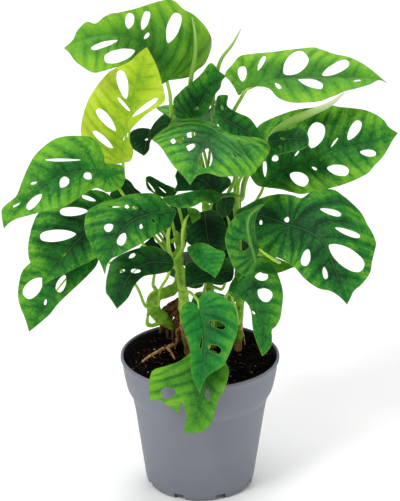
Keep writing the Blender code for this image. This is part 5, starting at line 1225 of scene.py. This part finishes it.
def make_leaf(name, leaf, stems, finishes):
    """A blade with its midrib and petiole, in one piece."""
    line = smooth(leaf["points"], 10)
    leaf["line"], leaf["length"] = evened(line, RIB_POINTS), travelled(line)[-1]
    mesh = make_blade(name, leaf, finishes[:2])
    rib, thick = raised_rib(leaf)
    size = leaf.get("thick", PETIOLE_RADIUS)
    path = spaced(stalk_path(stems[leaf["on"]], [rib[-1], *leaf["stalk"]], size), 1.8)
    share = np.linspace(0, 1, len(path))
    radii = size * (0.9 + 0.55 * np.exp(-((1 - share) / 0.07) ** 2))
    radii *= 1 - (1 - thick[-1] / radii[0]) * np.exp(-(share * len(path) / 4) ** 2)
    start = len(rib) / (len(rib) + len(path))

    def channelled(at, turn):
        return 1 - 0.16 * np.exp(-((turn - math.pi) / 0.5) ** 2) * (start + 0.04 < at < 0.96)

    points, faces, marks = sweep(np.vstack([rib, path[1:]]), np.r_[thick, radii[1:]], 12, channelled)
    marks["along"] = np.clip((marks["along"] - start) / (1 - start), 0, 1)
    stalk = mesh_from(name + "_stalk", points, faces, marks, finishes, np.full(len(faces), 2))
    bm = bmesh.new()
    bm.from_mesh(mesh)
    bm.from_mesh(stalk)
    bm.to_mesh(mesh)
    bm.free()
    bpy.data.meshes.remove(stalk)
    mesh.materials.append(finishes[2])
    return new_piece(name, mesh, [name])


def make_leaves(stems):
    """Every leaf, each with its tone and lightness, which paint shade on the leaves inside the plant, and its
    own seed for what varies.
    """
    finishes, petiole = leaf_finishes(), petiole_skin()
    for number, (name, leaf) in enumerate(LEAVES.items()):
        rng = random.Random(number * 11 + 5)
        tone, leaf["own"] = TONES.get(name, ("mid", 0.35 + 0.3 * rng.random()))
        leaf["seed"] = number * 1.7 + 0.3
        leaf["points"] = in_mm(leaf["rib"])
        leaf["stalk"] = in_mm(leaf["stalk"])
        make_leaf(name, leaf, stems, [*finishes[tone], petiole])


def knuckles(travel, rng):
    """The rings and the swellings of a stem's joints, for each distance travelled along it."""
    ring, bulge, at = np.zeros(len(travel)), np.zeros(len(travel)), 22.0
    while at < travel[-1] - 6:
        bulge += np.exp(-((travel - at) / 2.4) ** 2)
        ring += np.exp(-((travel - at + 1.4) / 0.55) ** 2)
        at += rng.uniform(10, 17)
    return ring, bulge


def make_stems(finish):
    """Climbing stems with swollen, ringed joints, tan at the foot."""
    stems, sides = {}, 24

    def knobbly(share, turn):
        return 1 + 0.05 * np.sin(turn * 2 + share * 25) + 0.03 * np.sin(turn * 5 + share * 60)

    for number, (name, path) in enumerate(STEMS.items()):
        points = in_mm([p[:3] for p in path])
        points.insert(0, np.array([points[0][0], points[0][1], SOIL_TOP - STEM_FOOT_DEPTH]))
        line = spaced(points, 1.1)
        reach = np.linspace(0, len(path), len(line))
        size = np.interp(reach, np.arange(1, len(path) + 1), [p[3] for p in path])
        ring, bulge = knuckles(travelled(line), random.Random(number + 3))
        radii = size * (0.97 + 0.16 * bulge - 0.05 * ring)
        radii[-3:] *= (0.9, 0.7, 0.4)
        points, faces, marks = sweep(line, radii, sides, knobbly)
        marks["ring"] = np.r_[np.repeat(np.clip(ring, 0, 1), sides), 0, 0]
        if name == "stem_left":
            fall = spaced(in_mm([p[:3] for p in SHEATH]), 0.9)
            along = np.linspace(0, len(SHEATH) - 1, len(fall))
            sizes = np.interp(along, np.arange(len(SHEATH)), [p[3] for p in SHEATH])
            sheath = sweep(fall, sizes, 12, knobbly)
            sheath[2]["ring"] = np.zeros(len(sheath[0]))
            points, faces, marks = joined([(points, faces, marks), sheath])
        marks["height"] = np.clip((points[:, 2] - SOIL_TOP) / 22, 0, 1)
        marks["own"] = np.full(len(points), STEM_LIGHT[name])
        new_piece(name, mesh_from(name, points, faces, marks, [finish]), [name])
        stems[name] = (line, size)
    return stems


def make_furled(name, furled, stems, finish):
    """A new leaf rolled into a slim scroll with an open seam, on its own petiole."""
    radius = furled["radius"]
    path = spaced(stalk_path(stems[furled["on"]], in_mm(furled["path"]), radius * 0.75), 1.3)
    share = np.linspace(0, 1, len(path))
    radii = radius * np.interp(share, [0, 0.05, 0.12, 0.3, 0.5, 0.62, 1], [0.2, 0.45, 0.7, 1, 1, 0.62, 0.7])

    def scroll(at, turn):
        rolled = 1 - rise_between(at, 0.55, 0.66)
        lap = (turn / (2 * math.pi) + at * 0.8) % 1.0
        return 1 + rolled * (0.16 * lap - 0.1 + 0.05 * np.sin(lap * 19))

    points, faces, marks = sweep(path, radii, 32, scroll)
    new_piece(name, mesh_from(name, points, faces, marks, [finish]), [name])


def make_all_furled(stems):
    """The rolled leaves: the one that points right is paler."""
    pale = scroll_skin("scroll_pale", (150, 186, 84), (104, 156, 62), (196, 206, 168))
    green = scroll_skin("scroll_green", (136, 182, 58), (104, 160, 46), (150, 190, 90))
    for name, furled in FURLED.items():
        make_furled(name, furled, stems, pale if name == "furled_right" else green)


# Soil and what lies on it

def soil_height(x, y):
    """Height of the lumpy soil, mm."""
    lump = noise.fractal(Vector((x / 14, y / 14, 2.0)), 0.9, 2.1, 5)
    fine = noise.fractal(Vector((x / 3.2, y / 3.2, 7.0)), 0.8, 2.2, 3)
    heap = 2.6 * math.exp(-((x - 22) / 20) ** 2 - ((y - 40) / 13) ** 2)
    return SOIL_TOP + 1.6 - 0.6 * (math.hypot(x, y) / 56) ** 2 + heap + 0.9 * lump + 0.55 * fine


def make_soil():
    """Lumpy peat surface over the filling of the pot."""
    steps, rings = 220, 96
    points = [(0, 0, soil_height(0, 0))]
    for i in range(1, rings):
        for x, y, _ in level_ring(SOIL_RADIUS * (i / rings) ** 0.85, 0, steps):
            points.append((x, y, soil_height(x, y)))
    for out, height in SOIL_SIDE:
        points += list(level_ring(out, height, steps))
    points.append((0, 0, SOIL_SIDE[-1][1]))
    faces = fan(0, 1, steps)
    for i in range(rings + len(SOIL_SIDE) - 2):
        faces += band(1 + i * steps, 1 + (i + 1) * steps, steps)
    last = len(points) - 1
    faces += inside_out(fan(last, last - steps, steps))
    points = np.array(points)
    mesh = mesh_from("soil", points, faces, {"spot": points / MM_IN_CM}, [peat()])
    new_piece("soil", mesh, ["soil"])


def scatter(name, count, sizes, seed, finish, squash=(0.6, 1.0)):
    """Small uneven lumps, from sizes[0] to sizes[1] mm, lying in the soil's surface."""
    reach, rough = 54.0, 0.35
    rng = random.Random(seed)
    bm = bmesh.new()
    bmesh.ops.create_icosphere(bm, subdivisions=1, radius=1.0)
    base = np.array([v.co for v in bm.verts])
    base_faces = [tuple(v.index for v in face.verts) for face in bm.faces]
    bm.free()
    lumps = []
    for _ in range(count):
        out, turn = reach * math.sqrt(rng.random()), rng.uniform(0, 2 * math.pi)
        x, y = out * math.cos(turn), out * math.sin(turn)
        size = rng.uniform(*sizes) * rng.uniform(0.6, 1.0)
        shape = base * [1.0 + rough * (rng.random() - 0.5) for _ in range(3)]
        shape = shape * (1 + rough * (np.array([rng.random() for _ in range(len(base))]) - 0.5))[:, None]
        spin = rng.uniform(0, 2 * math.pi)
        c, s = math.cos(spin), math.sin(spin)
        shape = shape @ np.array([[c, -s, 0], [s, c, 0], [0, 0, rng.uniform(*squash)]])
        shape = shape * size + (x, y, soil_height(x, y) + size * 0.25)
        lumps.append((shape, base_faces, {"spot": shape / MM_IN_CM}))
    points, faces, marks = joined(lumps)
    new_piece(name, mesh_from(name, points, faces, marks, [finish]), ())


def make_fibres(count, seed, finish):
    """Thin dry fibres curling over the soil."""
    rng = random.Random(seed)
    fibres = []
    for _ in range(count):
        out, turn = 52 * math.sqrt(rng.random()), rng.uniform(0, 2 * math.pi)
        x, y, head = out * math.cos(turn), out * math.sin(turn), rng.uniform(0, 2 * math.pi)
        length, curl = rng.uniform(4, 15), rng.uniform(-0.35, 0.35)
        line = []
        for i in range(7):
            if math.hypot(x, y) < 55:
                line.append((x, y, soil_height(x, y) + 0.5 + 0.5 * math.sin(i * 1.1)))
            head += curl
            x += math.cos(head) * length / 6
            y += math.sin(head) * length / 6
        if len(line) > 3:
            fibres.append(sweep(line, np.full(len(line), rng.uniform(0.1, 0.28)), 5))
    points, faces, marks = joined(fibres)
    new_piece("soil_fibres", mesh_from("soil_fibres", points, faces, marks, [finish]), ())


def make_litter():
    """Loose crumbs, pale specks, flakes and fibres on the soil."""
    crumb = grainy("peat_crumb", (5.0, 5.0, 0.7),
                   [(0.42, (4, 3, 2)), (0.58, (11, 8, 6)), (0.75, (48, 31, 20))], 0.95, 0.5, 0.8, 0.05)
    speck = grainy("pale_speck", (9.0, 4.0, 0.6), [(0.3, (150, 140, 122)), (0.6, (222, 216, 202))],
                   0.8, 0.2, 0.6, 0.5)
    fibre = grainy("peat_fibre", (3.0, 3.0, 0.6),
                   [(0.35, (28, 17, 10)), (0.55, (70, 46, 26)), (0.75, (150, 112, 66))], 0.85, 0.1, 0.5, 0.14)
    scatter("soil_crumbs", 900, (0.5, 1.9), 5, crumb)
    scatter("soil_specks", 60, (0.25, 0.7), 6, speck, (0.7, 1.0))
    scatter("soil_flakes", 26, (0.9, 2.4), 12, fibre, (0.15, 0.3))
    make_fibres(150, 9, fibre)


def make_root(finish):
    """The dried, forked root lying on the soil, with knuckles and broken rootlets."""
    rng = random.Random(8)
    parts = []

    def lumpy(share, turn):
        return 1 + 0.1 * np.sin(turn * 3 + share * 40) + 0.06 * np.sin(turn * 5)

    def strand(points, thick, thin, bumps):
        line = spaced(points, 0.9)
        size = np.linspace(thin, thick, len(line))
        size = size * [1 + bumps * noise.noise(Vector((i * 0.45, thick, 3.0))) for i in range(len(line))]
        parts.append(sweep(line, size, 12, lumpy))
        return line

    trunk = strand([(x, y, SOIL_TOP + 3.2) for x, y in ROOT], 1.7, 0.9, 0.5)
    strand([(x, y, SOIL_TOP + 3.0) for x, y in ROOT_BRANCH], 0.6, 1.1, 0.4)
    for _ in range(9):
        start = trunk[rng.randrange(5, len(trunk) - 5)]
        head = rng.uniform(0, 2 * math.pi)
        reach = rng.uniform(4, 10)
        points = [start]
        for i in range(1, 5):
            head += rng.uniform(-0.4, 0.4)
            p = points[-1] + np.array([math.cos(head), math.sin(head), 0]) * reach / 4
            p[2] = max(soil_height(p[0], p[1]) + 0.5, start[2] - 0.4 * i)
            points.append(p)
        strand(points[::-1], 0.45, 0.15, 0.3)
    points, faces, marks = joined(parts)
    new_piece("root_dry", mesh_from("root_dry", points, faces, marks, [finish]), ["root_dry"])


def make_strands(name, strands, finish, flat=1.0):
    """Dry roots or old sheaths hanging from the feet of the stems to the soil."""
    parts = []

    def creased(at, turn):
        return 1 + (flat - 1) * np.cos(turn * 2) + 0.12 * np.sin(turn * 5 + at * 9)

    for line, size in strands:
        path = spaced(in_mm(line), 0.8)
        sizes = size * (1.0 - 0.45 * np.linspace(0, 1, len(path)) ** 2)
        sizes = sizes * [1 + 0.45 * noise.noise(Vector((i * 0.3, size * 9, 1.0))) for i in range(len(path))]
        parts.append(sweep(path, sizes, 16, creased))
    points, faces, marks = joined(parts)
    new_piece(name, mesh_from(name, points, faces, marks, [finish]), ())


def make_dead_parts():
    """The dried root, the dry roots at the feet of the stems and the old sheaths."""
    bark = grainy("root_bark", (7.0, 4.0, 0.65),
                  [(0.25, (96, 60, 30)), (0.5, (182, 134, 84)), (0.75, (228, 190, 138))], 0.8, 0.3, 0.8, 0.14)
    husk = grainy("dry_husk", (7.0, 4.0, 0.65),
                  [(0.25, (34, 20, 10)), (0.5, (104, 70, 40)), (0.75, (190, 146, 94))], 0.8, 0.3, 0.8, 0.14)
    make_root(bark)
    make_strands("aerial_roots", STRANDS, bark)
    make_strands("old_sheaths", HUSKS, husk, 1.25)


# The pot and the room

def cut_drain_slot(pot, turn):
    """Cut one drain slot, wider below, through the foot of the pot."""
    deep, wide_below, wide_above, tall, raised = 7, 9, 7.5, 6, 1.5
    bm = bmesh.new()
    bmesh.ops.create_cube(bm, size=1.0)
    for vert in bm.verts:
        wide = wide_below if vert.co.z < 0 else wide_above
        vert.co = Vector((vert.co.x * deep, vert.co.y * wide, vert.co.z * tall)) * MM
    block = bpy.data.meshes.new("drain_slot")
    bm.to_mesh(block)
    bm.free()
    slot = bpy.data.objects.new("drain_slot", block)
    bpy.context.scene.collection.objects.link(slot)
    slot.location = Vector((FOOT_RADIUS * math.cos(turn), FOOT_RADIUS * math.sin(turn), raised)) * MM
    slot.rotation_euler = (0, 0, turn)
    bpy.context.view_layer.update()
    cut = pot.modifiers.new("Slot", "BOOLEAN")
    cut.operation = "DIFFERENCE"
    cut.object = slot
    cut.solver = "MANIFOLD"
    settle(pot)
    bpy.data.objects.remove(slot, do_unlink=True)


def make_pot():
    """Thin moulded pot: rolled lip, collar, stepped shoulder, tapered body, drain slots at its foot."""
    steps = 160
    rings = POT_OUTSIDE[:-1] + POT_INSIDE[1:]
    points = np.vstack([level_ring(out, height, steps) for out, height in rings]
                       + [(0, 0, POT_OUTSIDE[-1][1]), (0, 0, POT_INSIDE[0][1])])
    under, floor = len(points) - 2, len(points) - 1
    faces = []
    for i in range(len(rings)):
        a, b = i * steps, (i + 1) % len(rings) * steps
        if i == len(POT_OUTSIDE) - 2:
            faces += inside_out(fan(under, a, steps)) + fan(floor, b, steps)
        else:
            faces += band(a, b, steps)
    pot = new_piece("pot", mesh_from("pot", points, faces, {}, [pot_plastic()]), ["pot"])
    for i in range(DRAIN_SLOTS):
        cut_drain_slot(pot, (i + 0.5) * 2 * math.pi / DRAIN_SLOTS)
    mesh = pot.data
    places = np.array([v.co for v in mesh.vertices]) / MM
    out, height = np.hypot(places[:, 0], places[:, 1]), places[:, 2]
    middle = np.array(WALL_MIDDLE)
    darkened_below, soiled_from, soiled_to, fade = 30, 60, 103.4, 3
    inner_side = (out < np.interp(height, middle[:, 1], middle[:, 0])) & (height > soiled_from)
    add_marks(mesh, {"low": np.clip(1 - height / darkened_below, 0, 1), "spot": places / MM_IN_CM,
                     "soiled": inner_side * np.clip((soiled_to - height) / fade, 0, 1)})
    mesh.shade_smooth()
    mesh.set_sharp_from_angle(angle=math.radians(35))


def stand(obj, place, aim):
    """Put a light or the camera in its place, turned to what it aims at."""
    bpy.context.scene.collection.objects.link(obj)
    obj.location = place
    obj.rotation_mode = "QUATERNION"
    obj.rotation_quaternion = (Vector(aim) - Vector(place)).to_track_quat("-Z", "Y")


def light(name, place, aim, size, power):
    """A soft round studio panel."""
    data = bpy.data.lights.new(name, "AREA")
    data.shape = "DISK"
    data.size = size
    data.energy = power
    stand(bpy.data.objects.new(name, data), place, aim)


def studio():
    """Pale floor, soft light and the camera at the photographed view."""
    bm = bmesh.new()
    bmesh.ops.create_grid(bm, x_segments=8, y_segments=8, size=6.0)
    mesh = bpy.data.meshes.new("floor")
    bm.to_mesh(mesh)
    bm.free()
    mesh.materials.append(floor_paint())
    floor = bpy.data.objects.new("floor", mesh)
    bpy.context.scene.collection.objects.link(floor)
    floor.location = (0, 0, -0.4 * MM)
    light("key_light", (-2.0, -2.4, 3.4), (0, 0, 0.2), 1.2, 108.0)
    light("fill_light", (2.8, -2.0, 1.8), (0, 0, 0.2), 2.4, 26.0)
    light("top_light", (0.3, 1.6, 3.6), (0, 0, 0.15), 2.6, 90.0)
    world = bpy.data.worlds.new("studio")
    bpy.context.scene.world = world
    world.use_nodes = True
    sky = world.node_tree.nodes["Background"].inputs
    sky["Color"].default_value = (1, 1, 1, 1)
    sky["Strength"].default_value = 0.42
    lens = bpy.data.cameras.new("camera")
    lens.sensor_width = 36.0
    lens.lens = lens.sensor_width * VIEW_STEPS / VIEW_TALL
    lens.clip_end = 30.0
    camera = bpy.data.objects.new("camera", lens)
    stand(camera, Vector(EYE) * MM, Vector(AIM) * MM)
    bpy.context.scene.camera = camera
    bpy.context.scene.view_settings.view_transform = "Standard"


def main():
    """Make the whole plant, its pot and the room."""
    stems = make_stems(stem_skin())
    make_leaves(stems)
    make_all_furled(stems)
    make_soil()
    make_litter()
    make_dead_parts()
    make_pot()
    studio()


main()
